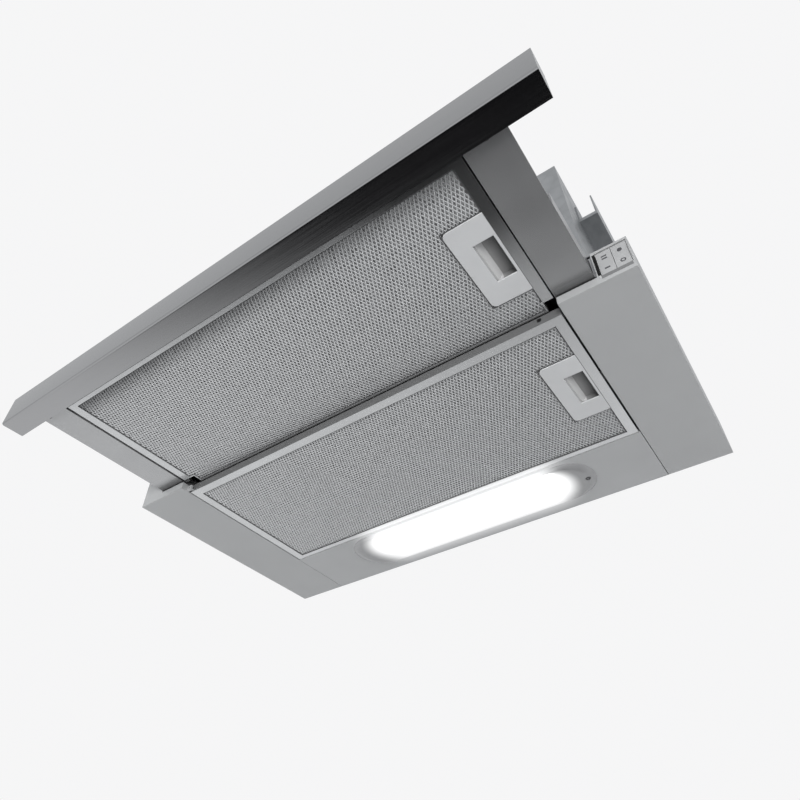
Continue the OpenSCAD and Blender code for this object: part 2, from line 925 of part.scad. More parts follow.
control_w = 100;
control_in = 13;
control_x = casing_half - control_in - control_w;
control_d = 60;
control_h = 58;
control_wall = 2;
control_z = low_h + sheet;
control_back = casing_back - sheet;
capacitor_r = 15;
capacitor_l = 45;
gland_in = 63;
gland_x = casing_half - gland_in;
gland_y = -40;
gland_r = 8;
gland_bore_r = 3.5;
gland_nut_r = 11;
gland_nut_h = 5;
gland_cap_r = 8.5;
gland_cap_h = 10;
gland_thread_l = 8;

module control_box() {
  color("lightgray")
  difference() {
    slab([control_x, control_back - control_d, control_z],
         [control_x + control_w, control_back, control_z + control_h]);
    slab([control_x + control_wall, control_back - control_d - over,
          control_z + control_wall],
         [control_x + control_w - control_wall, control_back - control_wall,
          control_z + control_h - control_wall]);
  }
}

module control_box_lid() {
  color("gray")
    slab([control_x, control_back - control_d - control_wall, control_z],
         [control_x + control_w, control_back - control_d, control_z + control_h]);
}

module capacitor() {
  color("white")
    rod_x(control_x + control_wall, control_x + control_wall + capacitor_l,
          control_back - control_d / 2, control_z + control_wall + capacitor_r, capacitor_r);
}

module cable_gland() {
  z = casing_top_z;
  color("black")
  difference() {
    union() {
      rod_z(gland_x, gland_y, z - gland_thread_l, z, gland_r);
      translate([gland_x, gland_y, z]) cylinder(r = gland_nut_r, h = gland_nut_h, $fn = 6);
      rod_z(gland_x, gland_y, z + gland_nut_h, z + gland_nut_h + gland_cap_h, gland_cap_r);
    }
    rod_z(gland_x, gland_y, z - gland_thread_l - over,
          z + gland_nut_h + gland_cap_h + over, gland_bore_r);
  }
}

// Rails

middle_x = rail_out_x - rail_t - play;
middle_lip = 5.2;
rail_nest = rail_t + play;

module rail_outer(side) {
  y0 = rail_front;
  y1 = rail_front + rail_len;
  color("silver") {
    slab_side(side, [rail_out_x - rail_t, y0, rail_z], [rail_out_x, y1, rail_z + rail_h]);
    for (z = [rail_z, rail_z + rail_h - rail_t])
      slab_side(side, [rail_out_x - rail_t - rail_deep, y0, z],
                [rail_out_x - rail_t, y1, z + rail_t]);
  }
}

module rail_middle(side) {
  y0 = rail_front - pull_travel / 2;
  y1 = y0 + rail_len;
  color("gainsboro") {
    slab_side(side, [middle_x - rail_t, y0, rail_z + rail_nest],
              [middle_x, y1, rail_z + rail_h - rail_nest]);
    for (z = [rail_z + rail_nest, rail_z + rail_h - rail_nest - rail_t])
      slab_side(side, [middle_x - rail_t - middle_lip, y0, z],
                [middle_x - rail_t, y1, z + rail_t]);
  }
}

module rail_inner(side) {
  y0 = rail_front - pull_travel;
  y1 = y0 + rail_len;
  color("silver") {
    slab_side(side, [rail_in_x, y0, rail_z + 2 * rail_nest],
              [rail_in_x + rail_t, y1, rail_z + rail_h - 2 * rail_nest]);
    for (z = [rail_z + 2 * rail_nest, rail_z + rail_h - 2 * rail_nest - rail_t])
      slab_side(side, [rail_in_x + rail_t, y0, z],
                [middle_x - rail_t - play, y1, z + rail_t]);
  }
}

module left_rail_outer() {
  rail_outer(-1);
}

module left_rail_middle() {
  rail_middle(-1);
}

module left_rail_inner() {
  rail_inner(-1);
}

module right_rail_outer() {
  rail_outer(1);
}

module right_rail_middle() {
  rail_middle(1);
}

module right_rail_inner() {
  rail_inner(1);
}

// Tray

tray_in = 1;
band_clear = 1.5;
tray_overlap = 34;
tray_flange_w = 6.5;
upstand_x = bay_half + tray_in;
tray_rear = front_y + tray_overlap;
web_drop = 8;
web_top = low_h - web_drop;
cover_plate_top = web_top + sheet;
// Bar across the back of the tray
rear_bar_gap = 2;
rear_bar_d = 14;
rear_bar_up = 1.2;
rear_bar_hole_r = 2;
rear_bar_hole_in = 22;
rear_bar_y = rear_front + rear_bar_gap;
// Hook for the front filter's rear pin
hook_gap = 1.5;
hook_t = 2.5;
hook_w = 8;
hook_h = 7;
notch_l = 11;
hook_y = front_back - notch_l + hook_gap;
// Middle of the front handle, a little behind the filter's middle
handle_aft = 8.3;
front_handle_y = (front_front + front_back) / 2 + handle_aft;
pin_clear_r = 2.2;

module tray_frame() {
  color("gainsboro")
  difference() {
    union() {
      for (s = [-1, 1]) {
        slab_side(s, [upstand_x, panel_back, tray_z], [box_in - band_clear, tray_rear, tray_z + sheet]);
        slab_side(s, [upstand_x, panel_back, tray_z], [upstand_x + sheet, tray_rear, tray_z + upstand_h]);
        slab_side(s, [rail_in_x - sheet, panel_back, tray_z], [rail_in_x, tray_rear, web_top]);
        slab_side(s, [rail_in_x - sheet - tray_flange_w, panel_back, web_top - sheet],
                  [rail_in_x, tray_rear, web_top]);
      }
      slab([-rail_in_x, panel_back, tray_z], [rail_in_x, tray_wall_y, web_top]);
      slab([-upstand_x, rear_bar_y, tray_z + rear_bar_up],
           [upstand_x, rear_bar_y + rear_bar_d, tray_z + rear_bar_up + sheet]);
      slab([-upstand_x, rear_bar_y + rear_bar_d - sheet, tray_z + rear_bar_up],
           [upstand_x, rear_bar_y + rear_bar_d, tray_z + upstand_h]);
      slab([-upstand_x, hook_y, tray_z], [-upstand_x + hook_w, hook_y + hook_t, tray_z + hook_h]);
    }
    for (s = [-1, 1])
      rod_z(s * (bay_half - rear_bar_hole_in), rear_bar_y + rear_bar_hole_r + rear_bar_up,
            tray_z, tray_z + rear_bar_up + sheet + over, rear_bar_hole_r);
    rod_y(pin_x, hook_y - over, hook_y + hook_t + over, tray_z + pin_up, pin_r + pin_play);
    rod_y(pin_x, panel_back - over, tray_wall_y + over, tray_z + pin_up, pin_r + pin_play);
    slab([upstand_x - over, front_handle_y - tongue_half - play, tray_z + tongue_low - play],
         [upstand_x + sheet + over, front_handle_y + tongue_half + play,
          tray_z + tongue_low + tongue_t + play]);
    for (x = panel_screw_xs)
      rod_y(x, panel_back - over, tray_wall_y + over, panel_screw_z, screw_r);
  }
}

module tray_cover() {
  color("silver")
    slab([-rail_in_x, panel_back, web_top], [rail_in_x, tray_rear, cover_plate_top]);
}

// Front panel

cap_t = 2;
panel_screw_in = 45.5;
panel_screw_gap = 2 * (rail_in_x - panel_screw_in) / 3;
panel_screw_xs = [for (i = [-1.5:1:1.5]) i * panel_screw_gap];
panel_screw_drop = 15;
panel_screw_z = low_h - panel_screw_drop;
bumper_r = 2;
bumper_t = 0.7;
bumper_in = 49;
bumper_x = half_w - bumper_in;

// Section of the front panel, drawn in by d, with round front bends
module panel_section(d) {
  y0 = panel_front + d;
  y1 = panel_back - d;
  z0 = panel_low + d;
  z1 = panel_top - d;
  r = panel_bend - d;
  translate([y0 + r, z0]) square([y1 - y0 - r, z1 - z0]);
  translate([y0, z0 + r]) square([r, z1 - z0 - 2 * r]);
  for (z = [z0 + r, z1 - r]) translate([y0 + r, z]) circle(r = r);
}

module front_panel() {
  color("lightsteelblue")
  difference() {
    along_x(-half_w, half_w)
      difference() {
        panel_section(0);
        panel_section(sheet);
        translate([panel_back - sheet - over, web_top])
          square([sheet + 2 * over, panel_top - sheet - web_top]);
      }
    rod_y(pin_x, panel_back - sheet - over, panel_back + over, tray_z + pin_up, pin_clear_r);
    for (x = panel_screw_xs)
      rod_y(x, panel_back - sheet - over, panel_back + over, panel_screw_z, screw_r);
  }
}

module panel_end_caps() {
  color("gray")
    for (x = [-half_w, half_w - cap_t])
      along_x(x, x + cap_t) panel_section(sheet);
}

module panel_screws() {
  color("dimgray")
    for (x = panel_screw_xs) {
      rod_y(x, tray_wall_y, tray_wall_y + screw_head_h, panel_screw_z, screw_head_r);
      rod_y(x, tray_wall_y - screw_l, tray_wall_y, panel_screw_z, screw_r);
    }
}

module panel_bumpers() {
  color("black")
    for (s = [-1, 1])
      rod_y(s * bumper_x, panel_back, panel_back + bumper_t,
            (panel_low + cover_lip_h) / 2, bumper_r);
}

// Filters

front_bar = 4.5;
front_rear_bar = 1.6;
rear_front_bar = 9.5;
rear_back_bar = 6;
left_notch = 15.5;
right_notch = 9.5;
// Front edge, back edge, left notch, right notch and length of the notches
front_edges = [front_front, front_back, left_notch, right_notch, notch_l];
rear_edges = [rear_front, rear_back, 0, 0, 0];
pin_out = 4.8;
rear_pin_out = 5;
back_pin_out = 3;

// Outline of a filter drawn in by side, front and back
function filter_outline(f, side, front, back) =
  let (x = filter_half)
  concat(
    [[-x + side, f[0] + front], [x - side, f[0] + front]],
    f[4] == 0 ? [[x - side, f[1] - back], [-x + side, f[1] - back]] : [
      [x - side, f[1] - f[4] - back], [x - f[3] - back, f[1] - f[4] - back],
      [x - f[3] - back, f[1] - back], [-x + f[2] + back, f[1] - back],
      [-x + f[2] + back, f[1] - f[4] - back], [-x + side, f[1] - f[4] - back]
    ]
  );

// Folded channel round a filter whose underside is at z
module filter_frame(f, z, front, back, handle_y) {
  difference() {
    translate([0, 0, z]) linear_extrude(filter_t) polygon(filter_outline(f, 0, 0, 0));
    translate([0, 0, z + channel_t])
      linear_extrude(filter_t - 2 * channel_t)
        polygon(filter_outline(f, channel_t, channel_t, channel_t));
    translate([0, 0, z - over])
      linear_extrude(filter_t + 2 * over)
        polygon(filter_outline(f, frame_bar, front, back));
    slab([filter_half - channel_t - over, handle_y - tongue_half - play, z + tongue_low - play],
         [filter_half + over, handle_y + tongue_half + play, z + tongue_low + tongue_t + play]);
  }
}

module front_filter_frame() {
  color("gainsboro") {
    filter_frame(front_edges, tray_z, front_bar, front_rear_bar, front_handle_y);
    rod_y(pin_x, front_front - pin_out, front_front + channel_t, tray_z + pin_up, pin_r);
    rod_y(pin_x, front_back - notch_l - channel_t, front_back - notch_l + hook_gap + hook_t,
          tray_z + pin_up, pin_r);
  }
}

module rear_filter_frame() {
  color("gainsboro") {
    filter_frame(rear_edges, 0, rear_front_bar, rear_back_bar, rear_handle_y);
    rod_y(pin_x, rear_front - lug_gap - lug_t, rear_front + channel_t, pin_up, pin_r);
    rod_y(pin_x, rear_back - channel_t, rear_back + back_pin_out, pin_up, pin_r);
  }
}

// Handle plates, edges along X
handle_x1 = filter_half - frame_bar;
handle_x0 = handle_x1 - handle_w;

// Lozenge openings of a mesh sheet with pitch p, clear of the frame and the handle
function lozenges(f, p, strand, handle_y, front, back) =
  let (fill = 1 - strand * sqrt(5) / (2 * p))
  let (hx = fill * p / 2, hy = fill * p)
  let (half_n = floor((filter_half - frame_bar - hx) / p - 0.5))
  let (y0 = f[0] + front + p, y1 = f[1] - back - p)
  let (rows = floor((y1 - y0) / p))
  let (start = (y0 + y1 - rows * p) / 2)
  [for (j = [0:rows])
     for (i = [-half_n - 1:half_n + 1])
       let (x = (i + (j % 2 == 0 ? 0 : 0.5)) * p, y = start + j * p)
       if (abs(x) + hx < filter_half - frame_bar
           && (x + hx < handle_x0 || abs(y - handle_y) > handle_l / 2 + hy))
         [[x - hx, y], [x, y - hy], [x + hx, y], [x, y + hy]]];

// Sheet outline that leaves out the handle and the tongue's way
function sheet_outline(f, handle_y) =
  let (o = filter_outline(f, channel_t, channel_t, channel_t))
  let (x = filter_half - channel_t, s = tongue_half + play, h = handle_l / 2)
  concat(
    [o[0], o[1]],
    [[x, handle_y - s], [handle_x1, handle_y - s], [handle_x1, handle_y - h],
     [handle_x0, handle_y - h], [handle_x0, handle_y + h], [handle_x1, handle_y + h],
     [handle_x1, handle_y + s], [x, handle_y + s]],
    [for (i = [2:len(o) - 1]) o[i]]
  );

// Expanded sheet between two heights
module mesh_sheet(f, z0, z1, p, strand, handle_y, front, back) {
  outer = sheet_outline(f, handle_y);
  holes = lozenges(f, p, strand, handle_y, front, back);
  points = concat(outer, [for (h = holes) each h]);
  n = len(outer);
  paths = concat([[for (i = [0:n - 1]) i]],
                 [for (k = [0:len(holes) - 1]) [for (i = [0:3]) n + 4 * k + i]]);
  translate([0, 0, z0]) linear_extrude(z1 - z0) polygon(points, paths);
}

// Thickness of the face sheets and of the coarser nets packed between them
face_t = 0.8;
core_t = 0.8;
core_layers = 2;
core_pitch = 3 * mesh_pitch / 2;
core_strand = mesh_strand;

// Face sheets on both sides of a filter
module filter_mesh(f, z, handle_y, front, back) {
  top = z + filter_t - channel_t;
  mesh_sheet(f, z + channel_t, z + channel_t + face_t, mesh_pitch, mesh_strand,
             handle_y, front, back);
  mesh_sheet(f, top - face_t, top, core_pitch, core_strand, handle_y, front, back);
}

// Nets packed between the face sheets
module filter_core(f, z, handle_y, front, back) {
  room = filter_t - 2 * channel_t - 2 * face_t;
  gap = (room - core_layers * core_t) / (core_layers + 1);
  for (i = [1:core_layers]) {
    low = z + channel_t + face_t + i * gap + (i - 1) * core_t;
    mesh_sheet(f, low, low + core_t, core_pitch, core_strand, handle_y, front, back);
  }
}

module front_filter_mesh() {
  color("darkgray")
    filter_mesh(front_edges, tray_z, front_handle_y, front_bar, notch_l + front_rear_bar);
}

module front_filter_core() {
  color("gray")
    filter_core(front_edges, tray_z, front_handle_y, front_bar, notch_l + front_rear_bar);
}

module rear_filter_mesh() {
  color("darkgray")
    filter_mesh(rear_edges, 0, rear_handle_y, rear_front_bar, rear_back_bar);
}

module rear_filter_core() {
  color("gray")
    filter_core(rear_edges, 0, rear_handle_y, rear_front_bar, rear_back_bar);
}

// Handles and latches

plate_t = 1.6;
plate_r = 5;
window_edge = 2.6;
window_x1 = handle_x1 - window_edge;
window_x0 = window_x1 - window_w;
box_t = 1;
box_edge = 2;
slider_half = 22.5;
slider_gap = 6.5;
slider_x0 = window_x0 - slider_gap;
slider_x1 = handle_x1 - box_t - play;
slider_low = plate_t + play;
slider_high = filter_t - box_t - play;
slider_grip = 1.6;
slider_skin = 0.6;
pocket_edge = 2.1;
pocket_roof = 1.2;
pocket_depth = slider_high - slider_low - pocket_roof;
pocket_shallow = 1.2;
pocket_flat = 6.5;
pocket_end = 3;
tongue_reach = 6;
tongue_tip = 0.6;
tongue_bevel = 1.9;
spring_hole_r = (slider_high - slider_low) / 2 - slider_skin;
spring_hole_l = 6;
spring_gap = 0.7;
spring_r = spring_hole_r - spring_gap;
spring_wire = 0.35;
spring_turns = 7;
spring_up = (slider_low + slider_high) / 2;
spring_side = 8;
spring_ring = 12;
handle_wall_x = slider_x0 - latch_travel - play;

// Extrudes an outline of X and Z along Y
module along_y(y0, y1) {
  translate([0, y1, 0]) rotate([90, 0, 0]) linear_extrude(y1 - y0) children();
}

// Handle plate with its box behind, underside at z, middle at y
module handle(z, y) {
  h = handle_l / 2;
  box_half = slider_half + play + box_t;
  color("gainsboro")
  translate([0, y, z])
  difference() {
    union() {
      linear_extrude(plate_t) {
        translate([handle_x0 + plate_r, -h]) square([handle_w - plate_r, handle_l]);
        translate([handle_x0, plate_r - h]) square([plate_r, handle_l - 2 * plate_r]);
        for (s = [-1, 1])
          translate([handle_x0 + plate_r, s * (h - plate_r)]) circle(r = plate_r);
      }
      slab([handle_wall_x - box_t, -box_half, 0], [handle_x1, box_half, filter_t]);
    }
    slab([handle_wall_x, -box_half + box_t, plate_t],
         [handle_x1 - box_t, box_half - box_t, filter_t - box_t]);
    slab([window_x0, -window_l / 2, -over], [window_x1, window_l / 2, plate_t + over]);
    slab([handle_x1 - box_t - over, -tongue_half - play, tongue_low - play],
         [handle_x1 + over, tongue_half + play, tongue_low + tongue_t + play]);
  }
}

module front_handle() {
  handle(tray_z, front_handle_y);
}

module rear_handle() {
  handle(0, rear_handle_y);
}

// Sprung slider with a finger pocket and a tongue
module latch(z, y) {
  x0 = window_x0 + slider_grip;
  x1 = window_x1 - window_edge / 2;
  tip = filter_half + tongue_reach;
  color("darkgray")
  translate([0, y, z]) {
    difference() {
      slab([slider_x0, -slider_half, slider_low], [slider_x1, slider_half, slider_high]);
      along_y(pocket_edge - slider_half, slider_half - pocket_edge)
        polygon([[x0, slider_low - over], [x0, slider_low + pocket_depth],
                 [x0 + pocket_flat, slider_low + pocket_depth],
                 [x1, slider_low + pocket_shallow], [x1, slider_low - over]]);
      rod_x(slider_x0 - over, slider_x0 + spring_hole_l, 0, spring_up, spring_hole_r);
    }
    along_y(-tongue_half, tongue_half)
      polygon([[slider_x1, tongue_low], [tip, tongue_low], [tip, tongue_low + tongue_tip],
               [tip - tongue_bevel, tongue_low + tongue_t],
               [slider_x1, tongue_low + tongue_t]]);
  }
}

module front_latch() {
  latch(tray_z, front_handle_y);
}

module rear_latch() {
  latch(0, rear_handle_y);
}

// Point at the middle of the spring wire after t turns
function coil_point(t, length) =
  let (a = 360 * t)
  [length * t / spring_turns, spring_r * cos(a), spring_r * sin(a)];

// Ring of the wire's skin round that point
function coil_ring(t, length) =
  let (c = coil_point(t, length), a = 360 * t)
  let (out = [0, cos(a), sin(a)], along = [1, 0, 0])
  [for (i = [0:spring_side - 1])
     let (b = 360 * i / spring_side)
     c + spring_wire * (cos(b) * out + sin(b) * along)];

// Compression spring between the handle's wall and the slider
module latch_spring(z, y) {
  x0 = handle_wall_x + spring_wire;
  length = slider_x0 + spring_hole_l - spring_wire - x0;
  n = spring_turns * spring_ring;
  m = spring_side;
  points = [for (k = [0:n]) each coil_ring(k / spring_ring, length)];
  skin = [for (k = [0:n - 1], i = [0:m - 1])
            let (a = k * m + i, b = k * m + (i + 1) % m)
            each [[a, b, b + m], [a, b + m, a + m]]];
  ends = concat([for (i = [1:m - 2]) [0, i + 1, i]],
                [for (i = [1:m - 2]) [n * m, n * m + i, n * m + i + 1]]);
  color("silver")
    translate([x0, y, z + spring_up])
      polyhedron(points, concat(skin, ends));
}

module front_latch_spring() {
  latch_spring(tray_z, front_handle_y);
}

module rear_latch_spring() {
  latch_spring(0, rear_handle_y);
}

lower_housing();
left_cover();
right_cover();
casing_shell();
casing_top();
fixing_bracket_left();
fixing_bracket_right();
casing_screws();
fan_housing_left();
fan_housing_right();
motor();
motor_bracket();
motor_shaft();
impeller();
outlet_collar();
flap_pin();
flap_front();
flap_rear();
lamp_panel();
lamp_bezel();
lamp_lens();
lamp_reflector();
lamp_holders();
lamp_bulbs();
lamp_screw();
switch_block();
rocker_pin();
switch_contacts();
fan_rocker();
light_rocker();
control_box();
control_box_lid();
capacitor();
cable_gland();
left_rail_outer();
left_rail_middle();
left_rail_inner();
right_rail_outer();
right_rail_middle();
right_rail_inner();
tray_frame();
tray_cover();
front_panel();
panel_end_caps();
panel_screws();
panel_bumpers();
front_filter_frame();
front_filter_mesh();
front_filter_core();
front_handle();
front_latch();
front_latch_spring();
rear_filter_frame();
rear_filter_mesh();
rear_filter_core();
rear_handle();
rear_latch();
rear_latch_spring();
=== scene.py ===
import json
import math

import bmesh
import bpy
import numpy as np
from mathutils import Matrix, Vector


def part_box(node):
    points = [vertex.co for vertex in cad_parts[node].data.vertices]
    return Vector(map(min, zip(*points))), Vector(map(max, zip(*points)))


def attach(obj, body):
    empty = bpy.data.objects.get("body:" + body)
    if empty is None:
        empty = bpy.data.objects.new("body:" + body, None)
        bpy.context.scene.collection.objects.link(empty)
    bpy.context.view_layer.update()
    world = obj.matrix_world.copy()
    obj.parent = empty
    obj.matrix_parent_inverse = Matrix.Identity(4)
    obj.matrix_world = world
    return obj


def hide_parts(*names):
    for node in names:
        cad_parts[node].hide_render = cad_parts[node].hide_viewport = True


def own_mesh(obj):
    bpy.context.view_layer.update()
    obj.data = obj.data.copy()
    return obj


# Dresses the solids of the hood: materials, nets, lamp, switch, camera, light and floor.

MM = 0.001
MICRON = 0.000001

# The camera, solved from the photograph's vanishing lines
CAMERA_PLACE = (0.31515, -0.64020, -0.42019)
CAMERA_AZIMUTH = 34.88
CAMERA_RISE = 42.87
CAMERA_LENS = 28.82
CAMERA_SENSOR = 36.0
CAMERA_CLIP = 0.01

# The floor and the lights, each with its place, target, size in metres and watts
FLOOR_Z = -1.25
FLOOR_SIZE = 9.0
LIGHTS = [
    ("key", (1.1, -2.3, -0.7), (0, -0.3, 0), 1.0, 54),
    ("fill", (-1.4, -1.4, -1.0), (0, -0.3, 0), 1.4, 15),
    ("top", (0.2, 0.3, 2.2), (0, -0.2, 0.1), 1.6, 42),
]

# The light of the room, as colours from straight below (0) to straight above (1), its power,
# and the plain backdrop that the camera sees instead
ROOM = [
    (0.065, (0.012, 0.012, 0.013)),
    (0.19, (0.86, 0.87, 0.88)),
    (0.6, (0.62, 0.63, 0.64)),
]
ROOM_POWER = 1.1
BACKDROP = (0.92, 0.92, 0.925)

# The face sheet of the filters: an expanded net
NET_PITCH = 3.45 * MM
NET_STRAND = 1.1 * MM
NET_DEEP = 0.62 * MM
NET_UP = 0.95 * MM
NET_TUCK = 3.0 * MM
NET_SLANT = 0.5
NET_TIP = 0.25

# The filters: their thickness, bars, cut-outs, and the room behind the nets
FILTER_T = 9.0 * MM
CHANNEL_T = 0.8 * MM
SIDE_BAR = 9.5 * MM
FRONT_BAR = 4.5 * MM
FRONT_BACK_BAR = 1.6 * MM
FRONT_NET_BACK = 1.0 * MM
REAR_FRONT_BAR = 9.5 * MM
REAR_BACK_BAR = 6.0 * MM
REAR_NET_BACK = 3.0 * MM
NOTCH_LEFT = 15.5 * MM
NOTCH_RIGHT = 9.5 * MM
NOTCH_LONG = 11.0 * MM
FRONT_NOTCHES = (NOTCH_LEFT, NOTCH_RIGHT, NOTCH_LONG)
NO_NOTCHES = (0, 0, 0)
PAD_IN = 2.2 * MM
GRIP_GAP = 0.1 * MM

# Painted shade: thin dark sheets round the nets' edges and the handle, dark strips on the faces
# that the filters turn to each other, a dark line by the handle, and a black patch for a hole's
# shade on the rear filter's front
EDGE_SHADE_OUT = 1.1 * MM
EDGE_SHADE_T = 0.1 * MM
HANDLE_SHADE_W = 0.4 * MM
FACE_SHADE_T = 0.15 * MM
FACE_SHADE_IN = 16 * MM
HOLE_SHADE_IN = 19.8 * MM
HOLE_SHADE_W = 3.8 * MM
HOLE_SHADE_H = 4.0 * MM
HOLE_SHADE_Z = 5.6 * MM

# The hem along the right edge of the tray's opening
TRAY_GAP = 3.0 * MM
LIP_W = 1.6 * MM
LIP_T = 1.0 * MM
LIP_FORE = 3.0 * MM

# The shades painted into the materials' colour: their reach, and the share of the colour that is
# left
TRAY_SHADOW = 16.0 * MM
TRAY_SHARE = 0.35
BAR_DARK = 45.0 * MM
BAR_PALE = 125.0 * MM
BAR_SHARE = 0.23
NET_SHADOW_FRONT = 26.0 * MM
NET_SHARE_FRONT = 0.45
NET_SHADOW_REAR = 14.0 * MM
NET_SHARE_REAR = 0.6

# The lamp's rim and lens
LENS_FLANGE = 5 * MM
LENS_REST = 3 * MM
LENS_CORE = 100 * MM
LENS_SINK = 0.5 * MM
LENS_BULGE = 1.2 * MM
LENS_TUCK = 0.3 * MM
LENS_FORE = 3 * MM
LENS_STEPS = 8
RIM_IN_END = 20 * MM
RIM_IN_SIDE = 6 * MM
RIM_SWELL = 4.2 * MM
RIM_CREST = 0.26
RIM_TUCK = 0.2 * MM
RIM_STEPS = 16
SCREW_PROUD = 0.3 * MM

# The lamp's glow: its reach past the rim, its power on what lies near, where it is painted light,
# and in the lens, the lamp itself, its power in the middle and at the edge, by shares of the lens's
# width
GLOW_OUT = 12 * MM
GLOW_SPILL = 13 * MM
GLOW_RIM = 1.1
GLOW_PANEL = 0.6
GLOW_BAR = 0.75
LENS_NEAR = 0.3
LENS_FAR = 0.46
LENS_BRIGHT = 4.0
LENS_FAINT = 1.0

# A screw's head: its outline and its cross, as shares of its radius and height
HEAD_EDGE = 0.82
HEAD_SIDES = [(0.95, 0.2), (1.0, 0.5), (1.0, 1.0)]
HEAD_FACE = 0.95
CROSS_LONG = 0.62
CROSS_WIDE = 0.13
CROSS_FLOOR = 0.6
CROSS_DEEP = 0.75
SCREW_STEPS = 32

# The painted shade by the switch: a black sheet for the slot at the keys' left side and a grey
# strip under the keys
SLOT_OUT = 0.4 * MM
SLOT_W = 1.95 * MM
STRIP_H = 2.3 * MM
STRIP_LOW = 1.5 * MM
TRIM_T = 0.1 * MM

# The prints on the switch keys: strokes, a dot and a ring
KEY_DISH = 1.2 * MM
PRINT_T = 0.05 * MM
STROKE_W = 4.6 * MM
STROKE_T = 1.5 * MM
STROKE_STEP = 2.9 * MM
STROKE_BOLD = 1.3
DOT_R = 2.1 * MM
RING_R = 2.5 * MM
RING_HOLE_R = 1.2 * MM

# The latch's pocket, and where the light and shade painted on the slider change
LATCH_WINDOW = 18.5 * MM
LATCH_EDGE = 2.6 * MM
LATCH_GRIP = 1.6 * MM
LATCH_ROOF = 1.2 * MM
LATCH_FLAT = 6.5 * MM
LATCH_SLOPE = 4.6 * MM
LATCH_SOFT = 0.9

# Distances under which two points count as one, angles in degrees, steps round an edge
SAME_PLACE = 0.05 * MM
WELD = 1e-7
WELD_LOOSE = 1e-6
FLAT_ANGLE = 1
SMOOTH_ANGLE = 32
EDGE_ANGLE = 40
EDGE_STEPS = 2

# CAD nodes with rounded edges, as (node, width of the rounding)
ROUNDED = [
    ("left_cover", 0.35 * MM), ("right_cover", 0.35 * MM), ("lower_housing", 0.2 * MM),
    ("front_panel", 0.25 * MM), ("panel_end_caps", 0.3 * MM), ("tray_frame", 0.25 * MM),
    ("front_filter_frame", 0.25 * MM), ("rear_filter_frame", 0.25 * MM),
    ("front_handle", 0.4 * MM), ("rear_handle", 0.4 * MM),
    ("front_latch", 0.5 * MM), ("rear_latch", 0.5 * MM),
    ("lamp_panel", 0.25 * MM),
    ("switch_block", 0.3 * MM), ("fan_rocker", 0.5 * MM), ("light_rocker", 0.5 * MM),
    ("casing_shell", 0.3 * MM), ("casing_top", 0.2 * MM), ("outlet_collar", 0.4 * MM),
    ("fixing_bracket_left", 0.3 * MM), ("fixing_bracket_right", 0.3 * MM),
    ("cable_gland", 0.4 * MM), ("tray_cover", 0.2 * MM),
]

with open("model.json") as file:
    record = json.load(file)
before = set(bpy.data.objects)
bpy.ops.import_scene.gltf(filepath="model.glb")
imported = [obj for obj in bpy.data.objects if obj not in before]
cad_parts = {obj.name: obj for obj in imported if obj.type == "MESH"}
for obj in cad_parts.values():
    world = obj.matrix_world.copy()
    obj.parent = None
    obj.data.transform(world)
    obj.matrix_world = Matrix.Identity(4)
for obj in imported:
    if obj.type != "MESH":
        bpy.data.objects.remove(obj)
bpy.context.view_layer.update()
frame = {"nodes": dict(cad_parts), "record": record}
NODES = frame["nodes"]
RECORD = frame["record"]
BODY = {n: b for b, ns in RECORD["behaviour"]["bodies"].items() for n in ns}
SLOT = {s["node"]: s["material_slot"] for s in RECORD["subparts"]}


# Materials

# The part of a noise's range that counts, and features a metre in the materials' patterns
NOISE_SPAN = (0.3, 0.7)
PAINT_TONES = 9
PAINT_GLOSS = 25
PLASTIC_TONES = 30
PLASTIC_GLOSS = 400
PLASTIC_GRAIN = 1500
ZINC_SPANGLE = 90
ZINC_SPAN = (0.1, 0.9)
ZINC_TONES = (0.93, 1.04)
ZINC_GRAIN = 700
FROST_SPECKS = 300
FROST_TONES = 7
FROST_GRAIN = 2500
FROST_DARK = 0.98
FROST_DIM = 0.95

# How far the brush stretches its strokes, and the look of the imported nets
BRUSH_STRETCH = 0.006
PACK_STRETCH = (1.0, 0.6, 0.2)
PACK_SCALE = 1.3
PACK_EDGE = (0.04, 0.2)


def set_stops(ramp, stops):
    """Gives a colour ramp its stops, each a place and a colour. A new ramp has two."""
    has = len(ramp.elements)
    for i, (place, colour) in enumerate(stops):
        if i < has:
            stop = ramp.elements[i]
            stop.position = place
        else:
            stop = ramp.elements.new(place)
        stop.color = (*colour, 1)


def remap(tree, value, span, to=(0.0, 1.0), kind="LINEAR"):
    """Maps a value from one span to another."""
    made = tree.nodes.new("ShaderNodeMapRange")
    made.interpolation_type = kind
    for end, number in zip(("From Min", "From Max", "To Min", "To Max"), (*span, *to)):
        made.inputs[end].default_value = number
    tree.links.new(value, made.inputs["Value"])
    return made.outputs["Result"]


def axes_of(tree, kind="Object"):
    """The coordinates of a place, axis by axis."""
    coords = tree.nodes.new("ShaderNodeTexCoord")
    parts = tree.nodes.new("ShaderNodeSeparateXYZ")
    tree.links.new(coords.outputs[kind], parts.inputs["Vector"])
    return parts.outputs


